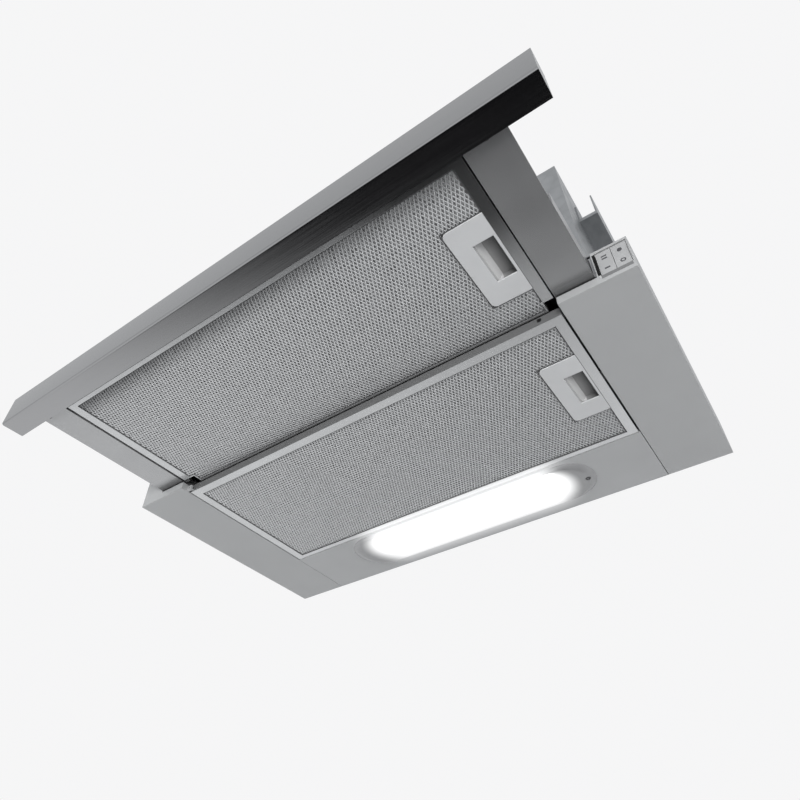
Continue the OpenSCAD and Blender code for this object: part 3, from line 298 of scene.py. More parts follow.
class Shader:
    """A Principled material whose colour, roughness and bump come from noise."""

    def __init__(self, name, rough, metal=0.0, coat=0.0):
        self.mat = bpy.data.materials.new(name)
        self.mat.use_nodes = True
        self.tree = self.mat.node_tree
        self.rough = rough
        self.bsdf = self.tree.nodes["Principled BSDF"]
        self.bsdf.inputs["Metallic"].default_value = metal
        self.bsdf.inputs["Roughness"].default_value = rough
        self.bsdf.inputs["Coat Weight"].default_value = coat
        self.coords = self.tree.nodes.new("ShaderNodeTexCoord")

    def link(self, out, into):
        """Joins an output to an input."""
        self.tree.links.new(out, into)

    def scaled(self, scale):
        """The place on the object, scaled along each axis."""
        place = self.tree.nodes.new("ShaderNodeMapping")
        place.inputs["Scale"].default_value = scale
        self.link(self.coords.outputs["Object"], place.inputs["Vector"])
        return place.outputs["Vector"]

    def noise(self, scale, stretch=(1, 1, 1), detail=4.0, rough=0.55):
        """Noise with so many features a metre along each axis."""
        made = self.tree.nodes.new("ShaderNodeTexNoise")
        made.inputs["Scale"].default_value = 1.0
        made.inputs["Detail"].default_value = detail
        made.inputs["Roughness"].default_value = rough
        self.link(self.scaled([scale * s for s in stretch]), made.inputs["Vector"])
        return made.outputs["Fac"]

    def ramp(self, fac, low, high, span=NOISE_SPAN):
        """A colour that goes from low to high over a span."""
        made = self.tree.nodes.new("ShaderNodeValToRGB")
        set_stops(made.color_ramp, [(span[0], low), (span[1], high)])
        self.link(fac, made.inputs["Fac"])
        return made.outputs["Color"]

    def colour(self, out):
        """Takes the base colour from an output."""
        self.link(out, self.bsdf.inputs["Base Color"])

    def gloss(self, fac, less, more):
        """Lets the roughness go so far below and above its middle."""
        span = (self.rough - less, self.rough + more)
        self.link(remap(self.tree, fac, NOISE_SPAN, span), self.bsdf.inputs["Roughness"])

    def bump(self, fac, height, strength=0.35):
        """Raises the surface by a height in metres."""
        made = self.tree.nodes.new("ShaderNodeBump")
        made.inputs["Strength"].default_value = strength
        made.inputs["Distance"].default_value = height
        self.link(fac, made.inputs["Height"])
        self.link(made.outputs["Normal"], self.bsdf.inputs["Normal"])


def shade(colour, factor):
    """A colour made darker or paler."""
    return tuple(min(1.0, c * factor) for c in colour)


def painted(name, colour, rough=0.4, metal=0.0, grain=600, height=2 * MICRON, vary=0.02):
    """Enamel with a faint orange peel and slow changes of tone."""
    s = Shader(name, rough, metal)
    slow = s.noise(PAINT_TONES, detail=3.0)
    s.colour(s.ramp(slow, shade(colour, 1 - vary), shade(colour, 1 + vary)))
    s.gloss(s.noise(PAINT_GLOSS, detail=1.0), less=0.03, more=0.04)
    s.bump(s.noise(grain, detail=2.0), height)
    return s.mat


def brushed(name, colour, rough=0.3, along=(1, 0, 0), vary=0.06, metal=1.0, lines=1800):
    """Metal brushed along one axis."""
    s = Shader(name, rough, metal)
    stretch = [BRUSH_STRETCH if a else 1.0 for a in along]
    strokes = s.noise(lines, stretch, detail=5.0, rough=0.7)
    s.colour(s.ramp(strokes, shade(colour, 1 - vary), shade(colour, 1 + vary)))
    s.gloss(strokes, less=0.07, more=0.1)
    s.bump(strokes, height=5 * MICRON, strength=0.3)
    return s.mat


def plastic(name, colour, rough=0.5, grain=PLASTIC_GRAIN, height=10 * MICRON, vary=0.05,
            coat=0.0):
    """Moulded plastic with a fine eroded grain."""
    s = Shader(name, rough, coat=coat)
    s.colour(s.ramp(s.noise(PLASTIC_TONES), shade(colour, 1 - vary), shade(colour, 1 + vary)))
    s.gloss(s.noise(PLASTIC_GLOSS), less=0.06, more=0.08)
    s.bump(s.noise(grain, detail=2.0), height)
    return s.mat


def galvanised(name, colour, rough=0.38):
    """Zinc-coated sheet with its faint spangle."""
    s = Shader(name, rough, 1.0)
    cells = s.tree.nodes.new("ShaderNodeTexVoronoi")
    cells.inputs["Scale"].default_value = ZINC_SPANGLE
    s.link(s.coords.outputs["Object"], cells.inputs["Vector"])
    dark, pale = [shade(colour, factor) for factor in ZINC_TONES]
    s.colour(s.ramp(cells.outputs["Color"], dark, pale, ZINC_SPAN))
    s.gloss(cells.outputs["Distance"], less=0.05, more=0.1)
    s.bump(s.noise(ZINC_GRAIN), height=8 * MICRON)
    return s.mat


def packed(name, light, dark, rough=0.6, metal=0.6):
    """Packed layers of net seen in the depth of a filter."""
    s = Shader(name, rough, metal)
    cells = s.tree.nodes.new("ShaderNodeTexVoronoi")
    cells.feature = "DISTANCE_TO_EDGE"
    cells.inputs["Scale"].default_value = PACK_SCALE
    per = 1.0 / NET_PITCH
    s.link(s.scaled([per * share for share in PACK_STRETCH]), cells.inputs["Vector"])
    s.colour(s.ramp(cells.outputs["Distance"], light, dark, PACK_EDGE))
    s.bump(cells.outputs["Distance"], height=0.6 * MM, strength=0.8)
    return s.mat


def sliding(name, greys, rough=0.45):
    """Plastic of the sliders with painted light and shade: a pale grip where light falls, then a
    pocket that darkens into painted shade, and a tongue painted as dark as the gap's shade.
    """
    pale, mid, dark = [(grey, grey, grey) for grey in greys]
    s = Shader(name, rough)
    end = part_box("front_handle")[1].x - LATCH_EDGE
    start = end - LATCH_WINDOW + LATCH_GRIP
    share = remap(s.tree, axes_of(s.tree)["X"], (start, end))
    slope = LATCH_SLOPE / (end - start)
    tones = s.tree.nodes.new("ShaderNodeValToRGB")
    set_stops(tones.color_ramp, [(slope * LATCH_SOFT, pale), (1.0, dark), (slope, mid)])
    s.link(share, tones.inputs["Fac"])
    s.colour(tones.outputs["Color"])
    s.gloss(s.noise(PLASTIC_GLOSS), less=0.05, more=0.07)
    s.bump(s.noise(PLASTIC_GRAIN, detail=2.0), height=10 * MICRON)
    return s.mat


def frosted(name, colour, power, rough=0.25):
    """Frosted glass lit from behind."""
    s = Shader(name, rough)
    s.colour(s.ramp(s.noise(FROST_SPECKS), shade(colour, FROST_DARK), colour))
    s.link(s.ramp(s.noise(FROST_TONES, detail=1.0), shade(colour, FROST_DIM), colour),
           s.bsdf.inputs["Emission Color"])
    s.bsdf.inputs["Emission Strength"].default_value = power
    s.bump(s.noise(FROST_GRAIN, detail=2.0), height=10 * MICRON)
    return s.mat


def shadowed(mat, spot, axes, near, far, share):
    """Paints shade into a material's colour round a spot, by the distance along the axes that
    count.
    """
    tree = mat.node_tree
    into = tree.nodes["Principled BSDF"].inputs["Base Color"]
    coords = tree.nodes.new("ShaderNodeTexCoord")
    place = coords.outputs["Object"]
    for kind, other in (("SUBTRACT", spot), ("MULTIPLY", axes), ("LENGTH", (0, 0, 0))):
        made = tree.nodes.new("ShaderNodeVectorMath")
        made.operation = kind
        made.inputs[1].default_value = other
        tree.links.new(place, made.inputs[0])
        place = made.outputs[0]
    fade = remap(tree, made.outputs["Value"], (near, far), (share, 1.0), "SMOOTHSTEP")
    scaled = tree.nodes.new("ShaderNodeVectorMath")
    scaled.operation = "SCALE"
    tree.links.new(into.links[0].from_socket, scaled.inputs["Vector"])
    tree.links.new(fade, scaled.inputs["Scale"])
    tree.links.new(scaled.outputs["Vector"], into)


def lens_size():
    """Length and width of the lens inside its flange."""
    low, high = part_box("lamp_lens")
    return high.x - low.x - 2 * LENS_FLANGE, high.y - low.y - 2 * LENS_REST


def lit(mat, near, far, power_near, power_far=0.0, glow=(1, 1, 1)):
    """Gives a material a glow that changes with the distance from the lamp's middle line; on
    anything but the lens the glow is painted light.
    """
    tree = mat.node_tree
    low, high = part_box("lamp_lens")
    mid = (low + high) / 2 - Vector((0, LENS_FORE, 0))
    length, wide = lens_size()
    straight = (length - wide) / 2 - RIM_IN_END + RIM_IN_SIDE

    def maths(kind, a, b=0.0):
        made = tree.nodes.new("ShaderNodeMath")
        made.operation = kind
        tree.links.new(a, made.inputs[0])
        made.inputs[1].default_value = b
        return made.outputs["Value"]

    place = axes_of(tree)
    along = maths("ABSOLUTE", maths("SUBTRACT", place["X"], mid.x))
    past = maths("MAXIMUM", maths("SUBTRACT", along, straight))
    across = maths("SUBTRACT", place["Y"], mid.y)
    both = tree.nodes.new("ShaderNodeCombineXYZ")
    tree.links.new(past, both.inputs["X"])
    tree.links.new(across, both.inputs["Y"])
    span = tree.nodes.new("ShaderNodeVectorMath")
    span.operation = "LENGTH"
    tree.links.new(both.outputs["Vector"], span.inputs[0])
    fade = remap(tree, span.outputs["Value"], (near, far), (power_near, power_far), "SMOOTHSTEP")
    bsdf = tree.nodes["Principled BSDF"]
    bsdf.inputs["Emission Color"].default_value = (*glow, 1)
    tree.links.new(fade, bsdf.inputs["Emission Strength"])


# A brush that runs from front to back
ALONG_Y = (0, 1, 0)

# The look of each slot: its kind, its colour, and what isn't as the kind has it
LOOKS = {
    "cover_steel": (painted, (0.325, 0.329, 0.332), {"rough": 0.42, "metal": 0.1}),
    "galvanised": (galvanised, (0.42, 0.43, 0.44), {}),
    "panel_steel": (brushed, (0.37, 0.37, 0.375), {"rough": 0.17}),
    "mesh_aluminium": (brushed, (0.55, 0.555, 0.56),
                       {"rough": 0.34, "along": ALONG_Y, "vary": 0.1, "metal": 0.4}),
    "handle_grey": (plastic, (0.44, 0.445, 0.45), {"rough": 0.42, "vary": 0.03}),
    # The slider's greys: painted light on its grip, painted shade in its pocket and on its tongue
    "latch_grey": (sliding, (0.42, 0.20, 0.03), {}),
    "spring_steel": (brushed, (0.6, 0.6, 0.6), {"rough": 0.25}),
    "rail_steel": (brushed, (0.42, 0.42, 0.43), {"along": ALONG_Y}),
    "screw_steel": (brushed, (0.55, 0.55, 0.56), {"rough": 0.28, "vary": 0.1}),
    "fan_black": (plastic, (0.035, 0.036, 0.04), {}),
    "wheel_grey": (plastic, (0.06, 0.062, 0.066), {"rough": 0.45}),
    "motor_steel": (brushed, (0.4, 0.4, 0.41), {"rough": 0.4, "along": ALONG_Y}),
    "collar_black": (plastic, (0.03, 0.03, 0.033), {}),
    "flap_grey": (plastic, (0.11, 0.11, 0.115), {}),
    "lamp_white": (painted, (0.34, 0.344, 0.348), {"rough": 0.38, "metal": 0.2}),
    "bezel_chrome": (plastic, (0.20, 0.202, 0.205),
                     {"rough": 0.18, "grain": 2500, "height": 3 * MICRON, "coat": 0.6}),
    "lens": (frosted, (1.0, 0.995, 0.98), {"power": 3.0}),
    "reflector": (brushed, (0.8, 0.8, 0.81), {"rough": 0.15}),
    "holder_white": (plastic, (0.8, 0.8, 0.78), {"rough": 0.4}),
    "bulb_glass": (frosted, (1.0, 0.96, 0.88), {"power": 1.5}),
    "switch_black": (plastic, (0.36, 0.363, 0.366), {"rough": 0.4, "vary": 0.02}),
    "key_grey": (plastic, (0.30, 0.303, 0.306),
                 {"rough": 0.4, "grain": 2500, "height": 5 * MICRON, "vary": 0.02}),
    "contact_brass": (brushed, (0.7, 0.5, 0.2), {}),
    "box_grey": (plastic, (0.5, 0.505, 0.51), {}),
    "capacitor_white": (plastic, (0.8, 0.8, 0.78), {"rough": 0.3}),
    "cap_grey": (brushed, (0.37, 0.37, 0.375), {"rough": 0.22, "along": ALONG_Y}),
    "rubber_black": (plastic, (0.02, 0.02, 0.02), {"rough": 0.8}),
}
MATERIALS = {slot: kind(slot, colour, **values) for slot, (kind, colour, values) in LOOKS.items()}

# Looks of single pieces; FINE is the grain of the smoothest paint
FINE = {"grain": 500, "height": MICRON}
PAD = packed("filter_pad", (0.50, 0.505, 0.51), (0.24, 0.24, 0.245))
PRINT = plastic("print_grey", (0.05, 0.05, 0.055), vary=0.02)
# The tray's steel; build_shades paints into it a dark reflection by the covers' front edge
TRAY = painted("tray_steel", (0.40, 0.402, 0.406), rough=0.24, metal=0.75, **FINE)
# One aluminium for the two filter frames, in two copies: the lamp's glow is painted on the first, a
# dark reflection on the second
BACK_BAR, PANEL_BAR = [painted(name, (0.56, 0.565, 0.57), rough=0.22, metal=0.8, **FINE)
                       for name in ("frame_painted_glow", "frame_painted_shade")]
DARK_STEEL = brushed("dark_steel", (0.07, 0.07, 0.072), rough=0.35, metal=0.6)
# The four colours below are for thin sheets that paint shade: in the switch's slot and a hole,
# under the switch's keys, on the filters' facing sides, and round the nets' edges
BLACK = plastic("shade_black", (0.004, 0.004, 0.004), rough=0.85)
STRIP = plastic("strip_shade_grey", (0.13, 0.131, 0.133))
FACE_SHADE = plastic("face_shade_grey", (0.10, 0.101, 0.102), rough=0.6, grain=900, height=30 * MICRON)
EDGE_SHADE = plastic("edge_shade_grey", (0.07, 0.07, 0.072), rough=0.7, grain=900, height=30 * MICRON)

# The nodes whose material isn't that of their slot
SPECIAL = {"tray_frame": TRAY, "front_filter_frame": PANEL_BAR, "rear_filter_frame": BACK_BAR}


def build_shades():
    """Painted shade: dark reflections painted into the tray and the front filter's right bar, and
    painted shadow on each net along its front edge.
    """
    shadowed(TRAY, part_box("right_cover")[0], (0, 1, 0), 0.0, TRAY_SHADOW, TRAY_SHARE)
    low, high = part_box("front_filter_frame")
    shadowed(PANEL_BAR, (high.x, low.y, 0), (1, 1, 0), BAR_DARK, BAR_PALE, BAR_SHARE)
    # Painted shadow on each net along its front edge
    for node, reach, share in (("front_filter_mesh", NET_SHADOW_FRONT, NET_SHARE_FRONT),
                               ("rear_filter_mesh", NET_SHADOW_REAR, NET_SHARE_REAR)):
        shadowed(MATERIALS["mesh_aluminium"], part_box(node)[0], (0, 1, 0), 0.0, reach, share)


# Meshes and pieces


def finished(bm, mesh):
    """Turns the faces of a bmesh outward and writes them to a mesh."""
    bmesh.ops.recalc_face_normals(bm, faces=bm.faces)
    bm.to_mesh(mesh)
    bm.free()
    return mesh


def from_faces(name, verts, faces, outward=False):
    """A mesh from points and faces, turned outward where their order doesn't see to it."""
    mesh = bpy.data.meshes.new(name)
    mesh.from_pydata(verts, [], faces)
    if outward:
        bm = bmesh.new()
        bm.from_mesh(mesh)
        finished(bm, mesh)
    return mesh


def placed(name, data):
    """A new object in the scene."""
    o = bpy.data.objects.new(name, data)
    bpy.context.scene.collection.objects.link(o)
    return o


def add(name, mesh, body, slot, mat=None):
    """A new piece that rides on a body."""
    o = placed(name, mesh)
    mesh.materials.clear()
    mesh.materials.append(mat or MATERIALS[slot])
    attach(o, body)
    return o


def smooth(mesh):
    """Smooth shading up to an angle between faces."""
    for p in mesh.polygons:
        p.use_smooth = True
    bm = bmesh.new()
    bm.from_mesh(mesh)
    sharp = math.radians(SMOOTH_ANGLE)
    for e in bm.edges:
        e.smooth = len(e.link_faces) == 2 and e.calc_face_angle(0) < sharp
    bm.to_mesh(mesh)
    bm.free()


def open_pocket(name, mesh):
    """Slopes the left side of a slider's finger pocket and takes its deep floor to the right."""
    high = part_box(name + "_latch")[1]
    x1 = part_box(name + "_handle")[1].x - LATCH_EDGE
    x0 = x1 - LATCH_WINDOW + LATCH_GRIP
    floor = high.z - LATCH_ROOF
    for v in mesh.vertices:
        if abs(v.co.z - floor) > SAME_PLACE or v.co.x > x1:
            continue
        if abs(v.co.x - x0) < SAME_PLACE:
            v.co.x = x0 + LATCH_SLOPE
        elif abs(v.co.x - x0 - LATCH_FLAT) < SAME_PLACE:
            v.co.x = x1 - LATCH_EDGE


def dress(node, width, mat=None, flats=True):
    """A copy of a CAD node with its edges rounded, which stands for the node."""
    mesh = NODES[node].data.copy()
    bm = bmesh.new()
    bm.from_mesh(mesh)
    bmesh.ops.remove_doubles(bm, verts=bm.verts, dist=WELD)
    if flats:
        bmesh.ops.dissolve_limit(bm, angle_limit=math.radians(FLAT_ANGLE), verts=bm.verts,
                                 edges=bm.edges)
    bm.to_mesh(mesh)
    bm.free()
    mesh.name = node + "_dressed"
    if node.endswith("_latch"):
        open_pocket(node.removesuffix("_latch"), mesh)
    smooth(mesh)
    o = add(node + "_dressed", mesh, BODY[node], SLOT[node], mat)
    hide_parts(node)
    if width:
        m = o.modifiers.new("edges", "BEVEL")
        m.width = width
        m.segments = EDGE_STEPS
        m.limit_method = "ANGLE"
        m.angle_limit = math.radians(EDGE_ANGLE)
        m.harden_normals = True
        m.use_clamp_overlap = True
    return o


def repaint(node):
    """Gives a CAD node its material."""
    mesh = NODES[node].data
    mesh.materials.clear()
    mesh.materials.append(MATERIALS[SLOT[node]])
    smooth(mesh)


def boxes(name, places):
    """A mesh of plain boxes, each given by its low and its high corner."""
    quads = ((0, 2, 3, 1), (4, 5, 7, 6), (0, 1, 5, 4), (2, 6, 7, 3), (0, 4, 6, 2), (1, 3, 7, 5))
    verts, faces = [], []
    for low, high in places:
        base = len(verts)
        verts += [(x, y, z) for z in (low[2], high[2]) for y in (low[1], high[1])
                  for x in (low[0], high[0])]
        faces += [tuple(base + i for i in quad) for quad in quads]
    return from_faces(name, verts, faces)


def slab_mesh(outline, z0, z1):
    """A flat slab over an outline."""
    count = len(outline)
    verts = [(x, y, z0) for x, y in outline] + [(x, y, z1) for x, y in outline]
    faces = [tuple(range(count))[::-1], tuple(range(count, 2 * count))]
    faces += [(i, (i + 1) % count, count + (i + 1) % count, count + i) for i in range(count)]
    return from_faces("slab", verts, faces)


def lofted(name, rings):
    """A skin through rings with equal numbers of points, closed round each ring."""
    count = len(rings[0])
    faces = []
    for k in range(len(rings) - 1):
        for i in range(count):
            j = (i + 1) % count
            faces.append((k * count + i, k * count + j, (k + 1) * count + j, (k + 1) * count + i))
    mesh = from_faces(name, [p for ring in rings for p in ring], faces, outward=True)
    smooth(mesh)
    return mesh


# Filters


def crossings(point, way, outline):
    """The stretches of a line that lie inside a closed outline, as pairs of parameters."""
    ts = []
    count = len(outline)
    for i in range(count):
        a, b = outline[i], outline[(i + 1) % count]
        side_a = (a[0] - point[0]) * way[1] - (a[1] - point[1]) * way[0]
        side_b = (b[0] - point[0]) * way[1] - (b[1] - point[1]) * way[0]
        if (side_a > 0) == (side_b > 0):
            continue
        k = side_a / (side_a - side_b)
        x, y = a[0] + k * (b[0] - a[0]), a[1] + k * (b[1] - a[1])
        ts.append((x - point[0]) * way[0] + (y - point[1]) * way[1])
    ts.sort()
    return list(zip(ts[::2], ts[1::2]))


def net(outline, z, up):
    """Expanded net inside an outline: strands of triangular section along two slants.
    up is 1 or -1, the way that their sharp edge points."""
    verts, faces = [], []
    xs = [p[0] for p in outline]
    ys = [p[1] for p in outline]
    slope = math.hypot(NET_SLANT, 1.0)
    reach = (max(ys) - min(ys)) * NET_SLANT
    first = math.floor((min(xs) - reach) / NET_PITCH)
    last = math.ceil((max(xs) + reach) / NET_PITCH)
    for lean in (-1, 1):
        way = (lean * NET_SLANT / slope, 1 / slope)
        side = (way[1], -way[0])
        tip = lean * NET_STRAND * NET_TIP
        for i in range(first, last + 1):
            for low, high in crossings((i * NET_PITCH, min(ys)), way, outline):
                if high - low < NET_PITCH / 2:
                    continue
                base = len(verts)
                for t in (low, high):
                    x, y = i * NET_PITCH + way[0] * t, min(ys) + way[1] * t
                    for across in (-NET_STRAND / 2, NET_STRAND / 2):
                        verts.append((x + side[0] * across, y + side[1] * across, z))
                    verts.append((x + side[0] * tip, y + side[1] * tip, z + up * NET_DEEP))
                a, b, c, d, e, f = range(base, base + 6)
                faces += [(a, b, e, d), (b, c, f, e), (c, a, d, f), (a, c, b), (d, e, f)]
    return from_faces("net", verts, faces, outward=True)


def filter_window(name, front, back, notches):
    """The net's outline in a filter: its window grown under the frame's lips, less the handle.
    front and back are the frame's bars there; notches are the widths and length of the
    cut-outs at the back corners."""
    low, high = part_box(name + "_filter_mesh")
    hand_low, hand_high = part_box(name + "_handle")
    x0, x1 = low.x + SIDE_BAR - CHANNEL_T - NET_TUCK, high.x - SIDE_BAR + CHANNEL_T + NET_TUCK
    y0, y1 = low.y + front - CHANNEL_T - NET_TUCK, high.y - back
    grip = hand_low.x - GRIP_GAP
    points = [(x0, y0), (x1, y0), (x1, hand_low.y), (grip, hand_low.y), (grip, hand_high.y),
              (x1, hand_high.y)]
    left, right, length = notches
    if length:
        points += [(x1, y1 - length), (high.x - right - CHANNEL_T, y1 - length),
                   (high.x - right - CHANNEL_T, y1), (low.x + left + CHANNEL_T, y1),
                   (low.x + left + CHANNEL_T, y1 - length), (x0, y1 - length)]
    else:
        points += [(x1, y1), (x0, y1)]
    return points


def build_filter(name, front, back, notches):
    """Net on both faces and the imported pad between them."""
    body = name + "_filter"
    outline = filter_window(name, front, back, notches)
    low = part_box(name + "_filter_frame")[0].z
    top = low + FILTER_T
    face = add(name + "_net_below", net(outline, low + NET_UP + NET_DEEP, -1), body,
               "mesh_aluminium")
    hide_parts(name + "_filter_mesh")
    add(name + "_net_above", net(outline, top - NET_UP - NET_DEEP, 1), body, "mesh_aluminium")
    pad = add(name + "_pad", slab_mesh(outline, low + PAD_IN, top - PAD_IN), body,
              "mesh_aluminium", PAD)
    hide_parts(name + "_filter_core")


def build_edge_shade(name, front, back, notches):
    """Painted shade: a thin dark sheet between the frame's lip and the net and round the handle,
    and a dark line along the handle's edge.
    """
    low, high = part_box(name + "_filter_mesh")
    hand_low, hand_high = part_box(name + "_handle")
    left, right, length = notches
    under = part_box(name + "_filter_frame")[0].z
    z0 = under + CHANNEL_T
    z1 = z0 + EDGE_SHADE_T
    x0, x1 = low.x + SIDE_BAR - CHANNEL_T, high.x - SIDE_BAR + CHANNEL_T
    y0, y1 = low.y + front - CHANNEL_T, high.y - back + CHANNEL_T
    out, grip = EDGE_SHADE_OUT, hand_low.x
    xb0, xb1 = (low.x + left, high.x - right) if length else (x0, x1)
    places = [((x0, y0, z0), (x1, y0 + out, z1)),
              ((xb0, y1 - out, z0), (xb1, y1, z1)),
              ((x0, y0, z0), (x0 + out, y1 - length, z1)),
              ((x1 - out, y0, z0), (x1, hand_low.y, z1)),
              ((x1 - out, hand_high.y, z0), (x1, y1 - length, z1)),
              ((grip - out, hand_low.y - out, z0), (grip, hand_high.y + out, z1)),
              ((grip, hand_low.y - out, z0), (x1, hand_low.y, z1)),
              ((grip, hand_high.y, z0), (x1, hand_high.y + out, z1)),
              # A dark line along the handle's edge, painted shade
              ((hand_high.x - HANDLE_SHADE_W / 2, hand_low.y, under - PRINT_T),
               (hand_high.x + HANDLE_SHADE_W / 2, hand_high.y, under))]
    add(name + "_edge_shade", boxes("edge_shade", places), name + "_filter", "rubber_black", EDGE_SHADE)


def build_face_shades():
    """Painted shade: dark strips on the faces that the two filters turn to each other, and a black
    patch for the shade in a hole.
    """
    low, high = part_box("rear_filter_mesh")
    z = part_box("rear_filter_frame")[0].z
    face = low.y - CHANNEL_T
    add("rear_face_shade", boxes("face_shade", [((low.x + FACE_SHADE_IN, face - FACE_SHADE_T, z),
                                     (high.x + CHANNEL_T, face, z + FILTER_T))]),
        "rear_filter", "rubber_black", FACE_SHADE)
    hole = high.x + CHANNEL_T - HOLE_SHADE_IN
    # A black patch that paints the shade in a hole
    add("rear_hole_shade", boxes("hole_shade", [
        ((hole - HOLE_SHADE_W / 2, face - FACE_SHADE_T - PRINT_T, z + HOLE_SHADE_Z - HOLE_SHADE_H / 2),
         (hole + HOLE_SHADE_W / 2, face - FACE_SHADE_T, z + HOLE_SHADE_Z + HOLE_SHADE_H / 2))]),
        "rear_filter", "rubber_black", BLACK)
    low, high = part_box("front_filter_mesh")
    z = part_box("front_filter_frame")[0].z
    back = high.y + CHANNEL_T
    add("front_face_shade", boxes("face_shade", [((low.x + NOTCH_LEFT, back - FRONT_BACK_BAR, z - FACE_SHADE_T),
                                      (high.x - NOTCH_RIGHT, back, z))]),
        "front_filter", "rubber_black", FACE_SHADE)


def build_lip():
    """The hem along the right edge of the tray's opening."""
    low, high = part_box("front_filter_frame")
    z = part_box("tray_frame")[0].z
    x = high.x + TRAY_GAP
    add("tray_lip", boxes("lip", [((x - LIP_W, low.y + LIP_FORE, z), (x, high.y, z + LIP_T))]),
        "tray", SLOT["tray_frame"], TRAY)


# Lamp


def oval_points(length, wide, caps=24, sides=16):
    """Points round a flat oval, middle at the origin."""
    r, c = wide / 2, (length - wide) / 2
    points = []
    for s in (1, -1):
        for i in range(caps + 1):
            a = math.pi * (i / caps - 0.5)
            points.append((s * (c + r * math.cos(a)), s * r * math.sin(a)))
        for i in range(1, sides):
            points.append((s * c * (1 - 2 * i / sides), s * r))
    return points


def build_lamp():
    """A domed rim round a lens that bulges a little, the lens's glow, and the lamp's light painted
    as glow on the rim, the lamp panel and the rear filter's bar.
    """
    low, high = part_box("lamp_bezel")
    mid = (low + high) / 2
    lens_length, lens_width = lens_size()
    outer = oval_points(high.x - low.x, high.y - low.y)
    inner = oval_points(lens_length - 2 * RIM_IN_END, lens_width - 2 * RIM_IN_SIDE)

    def ring(share, z):
        return [(mid.x + a[0] + (b[0] - a[0]) * share,
                 mid.y + a[1] + (b[1] - LENS_FORE - a[1]) * share, z)
                for a, b in zip(outer, inner)]

    rings = []
    for i in range(RIM_STEPS + 1):
        share = i / RIM_STEPS
        if share < RIM_CREST:
            drop = RIM_SWELL * math.sin(math.pi * share / RIM_CREST / 2)
        else:
            fall = 0.5 + 0.5 * math.cos(math.pi * (share - RIM_CREST) / (1 - RIM_CREST))
            drop = LENS_SINK + (RIM_SWELL - LENS_SINK) * fall
        rings.append(ring(share, high.z - drop))
    rings.append(ring(1, high.z + RIM_TUCK))
    rings.append(ring(0, high.z + RIM_TUCK))
    rings.append(rings[0])
    rim = add("rim", lofted("rim", rings), BODY["lamp_bezel"], SLOT["lamp_bezel"])
    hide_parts("lamp_bezel")

    rings = []
    core = 2 * LENS_CORE / lens_length
    for i in range(LENS_STEPS + 1):
        share = i / LENS_STEPS
        bulge = LENS_SINK - LENS_TUCK + (LENS_TUCK + LENS_BULGE) * (1 - (1 - share) ** 2)
        rings.append([(mid.x + x * (1 - share * (1 - core)), mid.y - LENS_FORE + y * (1 - share),
                       high.z - bulge) for x, y in inner])
    pane = add("lens", lofted("lens", rings), BODY["lamp_lens"], SLOT["lamp_lens"])
    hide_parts("lamp_lens")

    # Painted light: the glow on the rim, the lamp panel and the rear filter's bar; the lens is the
    # lamp itself
    near = lens_width / 2 - RIM_IN_SIDE
    far = (high.y - low.y) / 2 + GLOW_OUT
    lit(MATERIALS["bezel_chrome"], near, far, GLOW_RIM)
    lit(MATERIALS["lamp_white"], near, far + GLOW_SPILL, GLOW_PANEL)
    lit(BACK_BAR, near, far + GLOW_SPILL, GLOW_BAR)
    lit(MATERIALS["lens"], lens_width * LENS_NEAR, lens_width * LENS_FAR, LENS_BRIGHT, LENS_FAINT,
        (1, 0.998, 0.99))


# Screws with a cross recess


def loose_parts(mesh):
    """The separate parts of a mesh, each as an array of its points."""
    bm = bmesh.new()
    bm.from_mesh(mesh)
    bmesh.ops.remove_doubles(bm, verts=bm.verts, dist=WELD_LOOSE)
    left, parts = set(bm.verts), []
    while left:
        heap, part = [left.pop()], []
        while heap:
            v = heap.pop()
            part.append(tuple(v.co))
            for e in v.link_edges:
                other = e.other_vert(v)
                if other in left:
                    left.remove(other)
                    heap.append(other)
        parts.append(np.array(part))
    bm.free()
    return parts


def screw_mesh(head_r, head_h, shank_r, shank_l):
    """A screw along Z with its head's face at z 0 and its shank on the low side."""
    bm = bmesh.new()
    turn = [2 * math.pi * i / SCREW_STEPS for i in range(SCREW_STEPS)]

    def circle(r, z):
        return [bm.verts.new((r * math.cos(a), r * math.sin(a), z)) for a in turn]

    def skin(a, b):
        for i in range(len(a)):
            j = (i + 1) % len(a)
            bm.faces.new((a[i], a[j], b[j], b[i]))

    def edges(ring):
        return [bm.edges.get((ring[i], ring[(i + 1) % len(ring)]))
                or bm.edges.new((ring[i], ring[(i + 1) % len(ring)])) for i in range(len(ring))]

    wing, arm = head_r * CROSS_LONG, head_r * CROSS_WIDE
    corners = []
    for k in range(4):
        c, s = math.cos(k * math.pi / 2), math.sin(k * math.pi / 2)
        for x, y in ((arm, arm), (wing, arm), (wing, -arm)):
            corners.append((x * c - y * s, x * s + y * c))
    corners.sort(key=lambda p: math.atan2(p[1], p[0]))
    rim = circle(head_r * HEAD_EDGE, 0)
    cross = [bm.verts.new((x, y, 0)) for x, y in corners]
    floor = [bm.verts.new((x * CROSS_FLOOR, y * CROSS_FLOOR, -head_h * CROSS_DEEP))
             for x, y in corners]
    bmesh.ops.triangle_fill(bm, edges=edges(rim) + edges(cross), use_beauty=True)
    skin(cross, floor)
    bm.faces.new(floor)
    rings = [rim] + [circle(head_r * r, -head_h * h) for r, h in HEAD_SIDES]
    rings += [circle(shank_r, -head_h), circle(shank_r, -head_h - shank_l)]
    for a, b in zip(rings, rings[1:]):
        skin(a, b)
    bm.faces.new(rings[-1])
    mesh = finished(bm, bpy.data.meshes.new("screw"))
    smooth(mesh)
    return mesh


